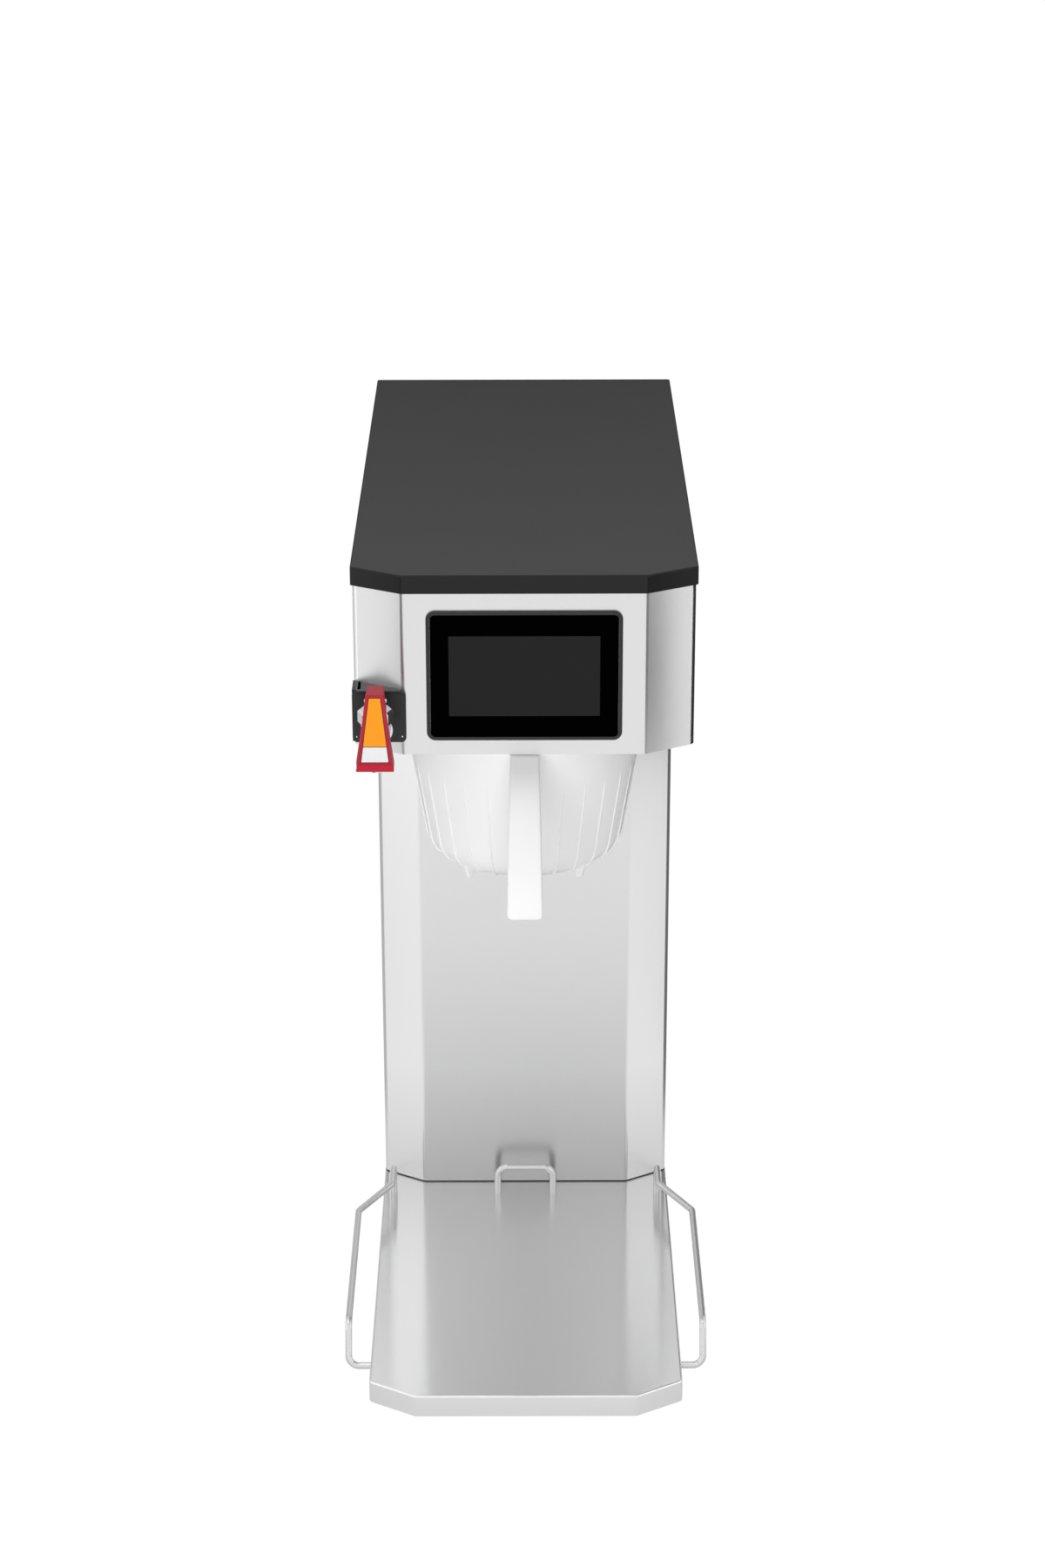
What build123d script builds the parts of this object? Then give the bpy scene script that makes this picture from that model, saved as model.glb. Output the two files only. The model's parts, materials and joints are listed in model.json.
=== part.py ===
from build123d import *
import math
import os

# Coffee and tea brewer on a counter, in millimetres.
# X is across, Y is depth with the front at -Y, Z is up from the counter.
# The origin is the centre of the base's underside.

# Cabinet
lid_width = 270.0
lid_depth = 575.0
overall_height = 752.0
lid_skirt = 15.0
lid_cut_x = 40.0
lid_cut_y = 22.0
lid_sheet = 1.5
lid_edge_radius = 1.3
lid_corner_radius = 2.0
lid_overhang = 2.0
lid_side_overhang = 1.5

sheet = 1.2
bend_radius = 6.5
rear_flange = 14.0
touch_gap = 0.3

head_height = 148.0
head_cut_x = 39.0
head_cut_y = 22.0
head_return = 6.0
floor_recess = 8.0

column_depth = 193.0
column_cut_x = 38.0
column_cut_y = 23.0
column_seal_height = 1.2
column_seal_depth = 3.0

base_height = 20.0
base_margin = 0.5
base_cut_x = 40.0
base_cut_y = 24.0
base_edge_radius = 1.8
base_front_bend = 2.5
base_plate_sheet = 1.5

# Levelling leg sockets
leg_bore_radius = 3.97
leg_socket_radius = 9.0
leg_socket_height = 11.0
leg_inset_x = 34.0
leg_inset_y = 50.0

# Server stop and side guides, bent from round wire
stop_wire_radius = 3.15
stop_half_span = 26.0
stop_height = 26.5
stop_bend = 10.0
stop_stand_off = 20.0
guide_wire_radius = 3.0
guide_foot_inset = 10.0
guide_stand_out = 19.2
guide_height = 28.5
guide_end_height = 12.5
guide_straight = 36.2
guide_flare = 52.0
guide_run = 196.3
guide_drop = 12.0
guide_bend = 9.0
wire_tail = 4.0
wire_hole_clearance = 0.1

# Rear panel
vent_length = 62.0
vent_height = 4.0
vent_pitch = 12.0
vent_rows = 7
vent_columns = 2
vent_column_pitch = 84.0
vent_drop = 76.0
column_screw_rows = 4
head_screw_rise = 94.5
screw_shank_radius = 1.9
screw_head_radius = 4.0
screw_head_height = 2.2
screw_clearance = 0.06
screw_edge = 7.0
screw_end_margin = 30.0
lid_screw_spread = 160.0
lid_screw_drop = 8.0
screw_length = 8.0

# Touch display
display_width = 152.5
display_top_margin = 14.25
display_bottom_margin = 12.25
display_corner_radius = 7.0
bezel_border = 3.0
glass_clearance = 0.15
glass_thickness = 1.9
glass_recess = 0.3
glass_land = 3.2
screen_clearance = 2.0
screen_thickness = 7.0
housing_depth = 22.0
housing_wall = 2.0
housing_lap = 5.0

# Hot water faucet
faucet_offset = 114.6
faucet_reach = 30.0
faucet_plate_offset = 113.2
faucet_plate_width = 42.0
faucet_plate_height = 42.7
faucet_plate_rise = 32.7
faucet_plate_thickness = 3.0
faucet_plate_corner = 4.0
faucet_field_inset = 2.0
faucet_field_rise = 0.6
faucet_dish_radius = 16.5
wedge_cheek = 4.2
wedge_slot = 2.4
wedge_web = 1.0
plate_screw_inset = 3.2
plate_screw_low = 4.9
plate_screw_radius = 0.9
plate_screw_rise = 0.4
shank_radius = 8.0
shank_rise = 23.0
shank_behind = 28.0
shank_collar_radius = 12.0
shank_collar_width = 3.0
shank_nut_flats = 24.0
shank_nut_width = 7.0
shank_spacer_radius = 12.0
hose_spigot_length = 8.0
hose_radius = 6.0
spigot_clearance = 0.1

spout_drop = 24.0
spout_radius = 6.5
spout_bore = 4.2
spout_length = 11.0
barrel_radius = 12.0
barrel_waist_radius = 9.5
barrel_waist_rise = 21.0
barrel_length = 40.3
chamber_radius = 6.2
seat_rise = 15.0
bonnet_radius = 14.0
bonnet_height = 10.0
bonnet_sides = 8
bonnet_roof = 4.0
bonnet_bevel = 1.6
stem_radius = 2.4
stem_bore_clearance = 0.08
stem_eye_radius = 3.4
stem_eye_gap = 1.3
stem_crown = 4.5
cup_radius = 5.4
cup_height = 5.0
cup_socket = 3.0
spring_inner = 2.9
spring_outer = 5.2
pin_radius = 1.5
pin_clearance = 0.05
pin_rise = 6.7
pin_length = 17.4

handle_crown = 10.0
handle_top_width = 14.1
handle_bottom_width = 29.4
handle_top_depth = 22.0
handle_rear_overhang = 7.0
handle_length = 56.7
handle_rake = 15.0
handle_wall = 2.2
handle_lip_height = 5.2
handle_lip_proud = 1.0
handle_flank_depth = 6.0
cheek_radius = 5.5
label_thickness = 0.3
label_margin = 2.3
label_top_gap = 1.5
label_bottom_gap = 1.2

# Brew funnel
funnel_setback = 110.0
funnel_rim_radius = 103.0
funnel_rim_thickness = 2.8
funnel_rim_drop = 0.4
funnel_mouth_radius = 98.2
funnel_taper = 0.175
funnel_depth = 124.4
funnel_corner_radius = 25.3
funnel_wall = 2.6
funnel_drain_radius = 9.0
drain_spout_length = 6.0
drain_spout_wall = 2.4
funnel_ribs = 28
rib_thickness = 1.4
rib_sink = 0.15  # the crest starts this far inside the wall's face
rib_top_drop = 38.0
rib_rise = 0.95
rib_end_angle = 62.0
rib_fade_angle = 84.0
funnel_feet = 4
foot_ring_radius = 63.0
foot_width = 15.0
foot_height = 8.0
foot_thickness = 5.0
foot_root = 6.0
nub_angle = 71.0
nub_ring_radius = 60.0
nub_size = 5.0
nub_height = 4.5
boss_half_width = 9.5
boss_height = 16.0
boss_stand_off = 5.1
grip_top_width = 22.8
grip_tip_width = 27.8
grip_reach = 105.9
grip_fall = 97.6
grip_bow = 20.0
grip_thickness = 7.0
grip_tip_radius = 4.2
grip_screw_radius = 1.8
grip_screw_pitch = 10.0
grip_screw_head = 2.8
grip_screw_head_height = 2.0
grip_screw_bite = 4.0
grip_screw_edge = 1.0
grip_foot_margin = 0.5
grip_top_drop = 0.2

# Rails and spray head
rail_lap = 3.8
rail_sheet = 1.2
rail_side_gap = 0.8
rail_flange = 12.0
rail_front_setback = 30.0
rail_length = 190.0
funnel_stop_half_width = 15.0
funnel_stop_gap = 0.5
spray_radius = 38.0
spray_thickness = 3.0
spray_gap = 2.0
spray_hole_radius = 1.5
spray_ring_radius = 22.0
spray_ring_holes = 12
spray_inner_ring_radius = 11.0
spray_inner_holes = 6
nipple_radius = 9.0
nipple_shoulder_radius = 13.0
nipple_flats = 22.0
nipple_nut_height = 6.0
nipple_rise = 16.0
bypass_offset = 52.0
bypass_radius = 5.0
bypass_flats = 15.0

# Water tank and valves
tank_width = 190.0
tank_depth = 150.0
tank_height = 300.0
tank_wall = 1.5
tank_corner = 18.0
tank_headroom = 50.5
tank_lid_thickness = 3.0
shelf_flange = 30.0
element_radius = 4.0
element_half_span = 28.0
element_bottom_gap = 30.0
element_terminal = 14.0
element_offset_y = 30.0
probe_radius = 3.0
probe_length = 100.0
probe_head_radius = 8.0
probe_head_height = 10.0
probe_x = -62.0
thermostat_radius = 12.0
thermostat_height = 9.0
thermostat_x = 30.0
thermostat_drop = 120.0
tank_lid_lap = 4.0
shelf_clearance = 1.0
valve_body = 30.0
valve_height = 34.0
valve_inset_y = 36.0
valve_port_height = 17.0
coil_radius = 12.0
coil_length = 22.0
fill_x = 60.0
fill_inset_y = 34.0
fill_valve_height = 60.0
faucet_port_x = -60.0
faucet_port_drop = 50.0
faucet_hose_lead = 40.0
faucet_hose_cross = 90.0
hose_bend = 22.0
hose_bore = 4.0

# Inlet, cord gland and switch on the rear panel
inlet_height = 62.0
flare_radius = 5.55
flare_length = 13.0
inlet_flats = 17.0
inlet_nut_width = 5.0
inlet_tube_radius = 5.0
gland_x = -70.0
gland_height = 62.0
gland_bore = 5.0
gland_radius = 9.5
gland_flange_radius = 13.0
gland_flange_width = 6.0
gland_depth = 14.0
gland_nut_flats = 25.0
gland_nut_width = 5.0
switch_x = -70.0
switch_height = 122.0
switch_width = 21.0
switch_length = 28.0
switch_flange = 3.0
switch_flange_width = 2.0
switch_corner = 2.0
switch_depth = 18.0
switch_wall = 2.0
switch_pocket = 12.0
rocker_gap = 0.5
rocker_tilt = 9.0
rocker_trunnion = 1.6
rocker_half_length = 10.8
rocker_half_back = 7.0
rocker_back = 4.0
rocker_proud = 4.6
rocker_valley = 3.0
rocker_pivot_depth = 3.0

# Electrical parts
panel_offset_y = 57.0
panel_headroom = 60.0
panel_half_width = 112.0
panel_foot = 16.0
board_width = 160.0
board_height = 110.0
board_thickness = 1.6
board_drop = 80.0
board_stand_off = 8.0
board_post_radius = 3.0
board_post_inset = 8.0
supply_width = 98.0
supply_height = 120.0
supply_depth = 38.0
supply_drop = 90.0
supply_x = -22.0
relay_width = 58.0
relay_height = 45.0
relay_depth = 24.0
relay_x = 80.0
relay_drop = 60.0
terminal_width = 70.0
terminal_height = 22.0
terminal_depth = 18.0
terminal_ways = 6
terminal_drop = 190.0

# Derived places
hose_spigot_radius = hose_bore - spigot_clearance
cabinet_width = lid_width - 2 * lid_side_overhang
cabinet_half = cabinet_width / 2
cabinet_front = -lid_depth / 2 + lid_overhang
cabinet_rear = lid_depth / 2 - lid_overhang
wrap_rear = cabinet_rear - sheet
column_front = cabinet_rear - column_depth
inner_half = cabinet_half - sheet
head_top = overall_height - lid_sheet
head_bottom = overall_height - head_height
display_height = head_height - lid_skirt - display_top_margin - display_bottom_margin
display_mid_height = head_bottom + display_bottom_margin + display_height / 2
floor_bottom = head_bottom + floor_recess
floor_top = floor_bottom + sheet
base_half = cabinet_half + base_margin
column_bottom = base_height + column_seal_height
funnel_axis_y = cabinet_front + funnel_setback
faucet_x = -faucet_offset
faucet_plate_x = -faucet_plate_offset
faucet_y = cabinet_front - faucet_reach
faucet_plate_mid = head_bottom + faucet_plate_rise
shank_height = head_bottom + shank_rise
spout_bottom = shank_height - spout_drop
spout_top = spout_bottom + spout_length
barrel_waist = spout_bottom + barrel_waist_rise
barrel_top = spout_bottom + barrel_length
bonnet_top = barrel_top + bonnet_height
seat_height = spout_bottom + seat_rise
pin_height = bonnet_top + pin_rise
handle_top = pin_height + handle_crown
funnel_rim_top = head_bottom - funnel_rim_drop
tank_top = head_top - tank_headroom
tank_bottom = tank_top - tank_height
faucet_port_z = tank_top - faucet_port_drop
panel_top = tank_bottom - panel_headroom
leg_x = base_half - leg_inset_x
leg_front_y = cabinet_front + leg_inset_y
leg_rear_y = cabinet_rear - leg_inset_y
wire_foot_y = column_front - stop_stand_off
guide_foot_x = base_half - guide_foot_inset
guide_out_x = base_half + guide_stand_out
guide_top = base_height + guide_height
guide_knee_y = wire_foot_y - guide_straight
guide_flare_y = guide_knee_y - guide_flare
guide_drop_y = guide_flare_y - guide_run
guide_end_y = guide_drop_y - guide_drop

os.makedirs("parts", exist_ok=True)


def save(piece, name):
    piece.part.label = name
    export_step(piece.part, f"parts/{name}.step")


def cut_corner_plan(half, front, rear, cut_x, cut_y):
    """Plan of a cabinet whose two front corners are cut off, rear left first."""
    return [
        (-half, rear),
        (-half, front + cut_y),
        (-half + cut_x, front),
        (half - cut_x, front),
        (half, front + cut_y),
        (half, rear),
    ]


head_plan = cut_corner_plan(cabinet_half, cabinet_front, wrap_rear, head_cut_x, head_cut_y)
column_plan = cut_corner_plan(cabinet_half, column_front, wrap_rear, column_cut_x, column_cut_y)
lid_plan = cut_corner_plan(lid_width / 2, -lid_depth / 2, lid_depth / 2, lid_cut_x, lid_cut_y)
base_plan = cut_corner_plan(base_half, cabinet_front, cabinet_rear, base_cut_x, base_cut_y)

screw_rise = (head_bottom - column_bottom - 2 * screw_end_margin) / (column_screw_rows - 1)
screw_heights = [column_bottom + screw_end_margin + row * screw_rise for row in range(column_screw_rows)]
screw_heights.append(head_bottom + head_screw_rise)
screw_x = cabinet_half - screw_edge
panel_screw_points = [(side * screw_x, height) for height in screw_heights for side in (-1, 1)]

lid_screw_points = [(side * lid_screw_spread / 2, overall_height - lid_screw_drop) for side in (-1, 1)]


def upright_plane(y):
    """Upright plane across the cabinet: local x is X, local y is Z, extruding towards the front."""
    return Plane(origin=(0, y, 0), x_dir=(1, 0, 0), z_dir=(0, -1, 0))


# Base tray, an upturned folded pan
with BuildPart() as base_tray:
    with BuildSketch() as tray_outline:
        with BuildLine():
            Polyline(*base_plan, close=True)
        make_face()
        front_corners = tray_outline.vertices().sort_by(Axis.Y)[:2]
        fillet(front_corners, radius=base_front_bend)
        side_corners = [v for v in tray_outline.vertices() if abs(v.X) > base_half - bend_radius]
        fillet(side_corners, radius=bend_radius)
    extrude(amount=base_height)
    fillet(base_tray.faces().sort_by(Axis.Z)[-1].edges(), radius=base_edge_radius)
    with BuildSketch():
        add(tray_outline.sketch)
        offset(amount=-sheet, mode=Mode.REPLACE)
    extrude(amount=base_height - sheet, mode=Mode.SUBTRACT)
    with BuildSketch(Plane.XY.offset(base_height)):
        with Locations((-stop_half_span, wire_foot_y), (stop_half_span, wire_foot_y)):
            Circle(stop_wire_radius + wire_hole_clearance)
        with Locations((-guide_foot_x, wire_foot_y), (guide_foot_x, wire_foot_y)):
            Circle(guide_wire_radius + wire_hole_clearance)
    extrude(amount=-2 * sheet, mode=Mode.SUBTRACT)
    with BuildSketch(Plane.YZ):
        with Locations((guide_end_y, guide_end_height)):
            Circle(guide_wire_radius + wire_hole_clearance)
    extrude(amount=base_half, both=True, mode=Mode.SUBTRACT)
save(base_tray, "base_tray")

# Bottom plate inside the tray's skirt, with the leg sockets on it
leg_points = [(x, y) for x in (-leg_x, leg_x) for y in (leg_front_y, leg_rear_y)]
with BuildPart() as base_plate:
    with BuildSketch():
        add(tray_outline.sketch)
        offset(amount=-(sheet + touch_gap), mode=Mode.REPLACE)
        with Locations(*leg_points):
            Circle(leg_bore_radius, mode=Mode.SUBTRACT)
    extrude(amount=base_plate_sheet)
save(base_plate, "base_plate")

with BuildPart() as leg_sockets:
    with BuildSketch(Plane.XY.offset(base_plate_sheet)):
        with Locations(*leg_points):
            Circle(leg_socket_radius)
            Circle(leg_bore_radius, mode=Mode.SUBTRACT)
    extrude(amount=leg_socket_height)
save(leg_sockets, "leg_sockets")

# Rubber strip that the column stands on
with BuildPart() as column_seal:
    with BuildSketch(Plane.XY.offset(base_height)) as column_outline:
        with BuildLine():
            Polyline(*column_plan, close=True)
        make_face()
        fillet(column_outline.vertices(), radius=bend_radius)
        offset(amount=-column_seal_depth, mode=Mode.SUBTRACT)
    extrude(amount=column_seal_height)
save(column_seal, "column_seal")


def wrap_ring(plan):
    """Section of a folded wrap: closed at the back except between its two flanges."""
    with BuildSketch() as ring:
        with BuildLine():
            Polyline(*plan, close=True)
        make_face()
        fillet(ring.vertices(), radius=bend_radius)
        offset(amount=-sheet, mode=Mode.SUBTRACT)
        with Locations((0, wrap_rear)):
            Rectangle(2 * (cabinet_half - rear_flange), 4 * sheet, mode=Mode.SUBTRACT)
    return ring.sketch


flange_screw_radius = screw_shank_radius + screw_clearance
column_ring = wrap_ring(column_plan)
head_ring = wrap_ring(head_plan)

# Column wrap: its front goes up to the head's floor, its sides stop under the head
with BuildPart() as column_wrap:
    with BuildSketch(Plane.XY.offset(column_bottom)):
        add(column_ring)
    extrude(amount=floor_bottom - column_bottom)
    with BuildSketch(Plane.XY.offset(head_bottom)):
        with Locations((0, column_front + column_cut_y + lid_depth / 2)):
            Rectangle(2 * lid_width, lid_depth)
        for side in (-1, 1):
            with Locations((side * cabinet_half, column_front)):
                Rectangle(4 * sheet, 4 * column_cut_y)
    extrude(amount=2 * floor_recess, mode=Mode.SUBTRACT)
    with BuildSketch(upright_plane(cabinet_rear)):
        with Locations(*panel_screw_points):
            Circle(flange_screw_radius)
    extrude(amount=4 * sheet, mode=Mode.SUBTRACT)
save(column_wrap, "column_wrap")


# Head wrap, open below, with a narrow return along its lower front edge
display_opening_width = display_width - 2 * (bezel_border + glass_land)
display_opening_height = display_height - 2 * (bezel_border + glass_land)
with BuildPart() as head_wrap:
    with BuildSketch(Plane.XY.offset(head_bottom)):
        add(head_ring)
    extrude(amount=head_top - head_bottom)
    with BuildSketch(Plane.XY.offset(head_bottom)) as head_outline:
        with BuildLine():
            Polyline(*head_plan, close=True)
        make_face()
        fillet(head_outline.vertices(), radius=bend_radius)
        offset(amount=-head_return, mode=Mode.SUBTRACT)
        with Locations((0, cabinet_front + head_cut_y + lid_depth / 2)):
            Rectangle(2 * lid_width, lid_depth, mode=Mode.SUBTRACT)
    extrude(amount=sheet)
    with BuildSketch(upright_plane(cabinet_front + 4 * sheet)):
        with Locations((0, display_mid_height)):
            Rectangle(display_opening_width, display_opening_height)
    extrude(amount=8 * sheet, mode=Mode.SUBTRACT)
    with BuildSketch(upright_plane(cabinet_front + 2 * head_cut_y)):
        with Locations((faucet_x, shank_height)):
            Circle(shank_radius + spigot_clearance)
    extrude(amount=4 * head_cut_y, mode=Mode.SUBTRACT)
    with BuildSketch(upright_plane(cabinet_rear)):
        with Locations(*panel_screw_points):
            Circle(flange_screw_radius)
    extrude(amount=4 * sheet, mode=Mode.SUBTRACT)
save(head_wrap, "head_wrap")

# Floor of the head, with the funnel's rear stop folded down from it
floor_rear = column_front - touch_gap
stop_y = funnel_axis_y + funnel_rim_radius + funnel_stop_gap
spray_axis = (0, funnel_axis_y)
bypass_axis = (bypass_offset, funnel_axis_y)
with BuildPart() as head_floor:
    with BuildSketch(Plane.XY.offset(floor_bottom)):
        with BuildLine():
            Polyline(*head_plan, close=True)
        make_face()
        fillet(vertices(), radius=bend_radius)
        offset(amount=-(sheet + touch_gap), mode=Mode.REPLACE)
        with Locations((0, floor_rear + column_depth / 2)):
            Rectangle(2 * lid_width, column_depth, mode=Mode.SUBTRACT)
        with Locations(spray_axis):
            Circle(nipple_radius + spigot_clearance, mode=Mode.SUBTRACT)
        with Locations(bypass_axis):
            Circle(bypass_radius + spigot_clearance, mode=Mode.SUBTRACT)
    extrude(amount=sheet)
    with BuildSketch(Plane.XY.offset(funnel_rim_top - funnel_rim_thickness)):
        with Locations((0, stop_y + sheet / 2)):
            Rectangle(2 * funnel_stop_half_width, sheet)
    extrude(until=Until.NEXT)
save(head_floor, "head_floor")

# Rear panel, laid over the wraps' flanges
inlet_point = (fill_x, inlet_height)
gland_point = (gland_x, gland_height)
switch_point = (switch_x, switch_height)
with BuildPart() as rear_panel:
    with BuildSketch(upright_plane(cabinet_rear)):
        with Locations((0, (base_height + head_top) / 2)):
            Rectangle(cabinet_width - 2 * touch_gap, head_top - base_height - 2 * touch_gap)
        vent_mid = overall_height - vent_drop - (vent_rows - 1) * vent_pitch / 2
        with Locations((0, vent_mid)):
            with GridLocations(vent_column_pitch, vent_pitch, vent_columns, vent_rows):
                SlotOverall(vent_length, vent_height, mode=Mode.SUBTRACT)
        with Locations(*panel_screw_points):
            Circle(flange_screw_radius, mode=Mode.SUBTRACT)
        with Locations(*lid_screw_points):
            Circle(flange_screw_radius, mode=Mode.SUBTRACT)
        with Locations(inlet_point):
            Circle(inlet_tube_radius + spigot_clearance, mode=Mode.SUBTRACT)
        with Locations(gland_point):
            Circle(gland_radius + spigot_clearance, mode=Mode.SUBTRACT)
        with Locations(switch_point):
            Rectangle(switch_width + touch_gap, switch_length + touch_gap, mode=Mode.SUBTRACT)
    extrude(amount=sheet)
save(rear_panel, "rear_panel")

# Black top lid with a folded skirt
with BuildPart() as top_lid:
    with BuildSketch(Plane.XY.offset(overall_height - lid_skirt)) as lid_outline:
        with BuildLine():
            Polyline(*lid_plan, close=True)
        make_face()
        fillet(lid_outline.vertices(), radius=lid_corner_radius)
    extrude(amount=lid_skirt)
    fillet(top_lid.faces().sort_by(Axis.Z)[-1].edges(), radius=lid_edge_radius)
    with BuildSketch(Plane.XY.offset(overall_height - lid_skirt)):
        add(lid_outline.sketch)
        offset(amount=-lid_sheet, mode=Mode.REPLACE)
    extrude(amount=lid_skirt - lid_sheet, mode=Mode.SUBTRACT)
    with BuildSketch(upright_plane(lid_depth / 2)):
        with Locations(*lid_screw_points):
            Circle(flange_screw_radius)
    extrude(amount=lid_sheet, mode=Mode.SUBTRACT)
save(top_lid, "top_lid")

# Identical screws that hold the rear panel and the lid
with BuildPart() as cabinet_screws:
    for seat_y, points in ((cabinet_rear, panel_screw_points), (lid_depth / 2, lid_screw_points)):
        with BuildSketch(upright_plane(seat_y + screw_head_height)):
            with Locations(*points):
                Circle(screw_head_radius)
        extrude(amount=screw_head_height)
    fillet(edges().filter_by(GeomType.CIRCLE).group_by(Axis.Y)[-1], radius=screw_head_height / 3)
    for seat_y, points in ((cabinet_rear, panel_screw_points), (lid_depth / 2, lid_screw_points)):
        with BuildSketch(upright_plane(seat_y)):
            with Locations(*points):
                Circle(screw_shank_radius)
        extrude(amount=screw_length)
save(cabinet_screws, "cabinet_screws")

# Touch display: bezel, glass, screen and rear housing
bezel_thickness = glass_thickness + glass_recess
glass_width = display_width - 2 * bezel_border
glass_height = display_height - 2 * bezel_border
glass_corner = display_corner_radius - bezel_border
with BuildPart() as display_bezel:
    with BuildSketch(upright_plane(cabinet_front)):
        with Locations((0, display_mid_height)):
            RectangleRounded(display_width, display_height, display_corner_radius)
            RectangleRounded(glass_width, glass_height, glass_corner, mode=Mode.SUBTRACT)
    extrude(amount=bezel_thickness)
    fillet(display_bezel.faces().sort_by(Axis.Y)[0].outer_wire().edges(), radius=bezel_thickness / 2)
save(display_bezel, "display_bezel")

with BuildPart() as display_glass:
    with BuildSketch(upright_plane(cabinet_front)):
        with Locations((0, display_mid_height)):
            RectangleRounded(
                glass_width - 2 * glass_clearance,
                glass_height - 2 * glass_clearance,
                glass_corner - glass_clearance,
            )
    extrude(amount=glass_thickness)
save(display_glass, "display_glass")

with BuildPart() as display_screen:
    with BuildSketch(upright_plane(cabinet_front + screen_thickness)):
        with Locations((0, display_mid_height)):
            Rectangle(
                display_opening_width - 2 * screen_clearance,
                display_opening_height - 2 * screen_clearance,
            )
    extrude(amount=screen_thickness)
save(display_screen, "display_screen")

housing_front = cabinet_front + sheet
housing_width = display_opening_width + 2 * housing_lap
housing_height = display_opening_height + 2 * housing_lap
with BuildPart() as display_housing:
    with BuildSketch(upright_plane(housing_front + housing_depth)):
        with Locations((0, display_mid_height)):
            RectangleRounded(housing_width, housing_height, housing_lap)
    extrude(amount=housing_depth)
    with BuildSketch(upright_plane(housing_front + housing_depth - housing_wall)):
        with Locations((0, display_mid_height)):
            Rectangle(housing_width - 2 * housing_wall, housing_height - 2 * housing_wall)
    extrude(amount=housing_depth - housing_wall, mode=Mode.SUBTRACT)
save(display_housing, "display_housing")

# Faucet mount: wedge that squares off the cut corner, and the plate on it
plate_bottom = faucet_plate_mid - faucet_plate_height / 2
wedge_left = faucet_plate_x - faucet_plate_width / 2
wedge_depth = (head_cut_x - cabinet_half - wedge_left) * head_cut_y / head_cut_x
with BuildPart() as faucet_wedge:
    with BuildSketch(Plane.XY.offset(plate_bottom)):
        with BuildLine():
            Polyline(
                (-cabinet_half + head_cut_x, cabinet_front),
                (wedge_left, cabinet_front),
                (wedge_left, cabinet_front + wedge_depth),
                close=True,
            )
        make_face()
        with Locations((wedge_left + wedge_cheek + wedge_slot / 2, cabinet_front + wedge_web + head_cut_y / 2)):
            Rectangle(wedge_slot, head_cut_y, mode=Mode.SUBTRACT)
    extrude(amount=faucet_plate_height)
    with BuildSketch(upright_plane(cabinet_front + wedge_depth)):
        with Locations((faucet_x, shank_height)):
            Circle(shank_radius + spigot_clearance)
    extrude(amount=2 * head_cut_y, mode=Mode.SUBTRACT)
save(faucet_wedge, "faucet_wedge")

plate_front = cabinet_front - faucet_plate_thickness
plate_screw_x = faucet_plate_width / 2 - plate_screw_inset
plate_screw_z = plate_bottom + plate_screw_low
with BuildPart() as faucet_plate:
    with BuildSketch(upright_plane(cabinet_front)):
        with Locations((faucet_plate_x, faucet_plate_mid)):
            RectangleRounded(faucet_plate_width, faucet_plate_height, faucet_plate_corner)
    extrude(amount=faucet_plate_thickness)
    fillet(faucet_plate.faces().sort_by(Axis.Y)[0].edges(), radius=faucet_field_rise)
    with BuildSketch(upright_plane(plate_front)):
        with Locations((faucet_plate_x, faucet_plate_mid)):
            RectangleRounded(
                faucet_plate_width - 2 * faucet_field_inset,
                faucet_plate_height - 2 * faucet_field_inset,
                faucet_plate_corner - faucet_field_inset / 2,
            )
        with Locations((faucet_x, shank_height)):
            Circle(faucet_dish_radius, mode=Mode.SUBTRACT)
    extrude(amount=faucet_field_rise)
    with BuildSketch(upright_plane(cabinet_front)):
        with Locations((faucet_x, shank_height)):
            Circle(shank_radius + spigot_clearance)
        with Locations((faucet_plate_x, plate_screw_z)):
            with GridLocations(2 * plate_screw_x, 1, 2, 1):
                Circle(plate_screw_radius + screw_clearance)
    extrude(amount=2 * faucet_plate_thickness, mode=Mode.SUBTRACT)
save(faucet_plate, "faucet_plate")

with BuildPart() as faucet_plate_screws:
    with BuildSketch(upright_plane(cabinet_front)):
        with Locations((faucet_plate_x, plate_screw_z)):
            with GridLocations(2 * plate_screw_x, 1, 2, 1):
                Circle(plate_screw_radius)
    extrude(amount=faucet_plate_thickness + plate_screw_rise)
    fillet(faces().group_by(Axis.Y)[0].edges(), radius=plate_screw_rise)
save(faucet_plate_screws, "faucet_plate_screws")


def hexagon(flats):
    """A hexagon across its flats, for nuts and unions."""
    return RegularPolygon(radius=flats / 2, side_count=6, major_radius=False)


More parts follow.
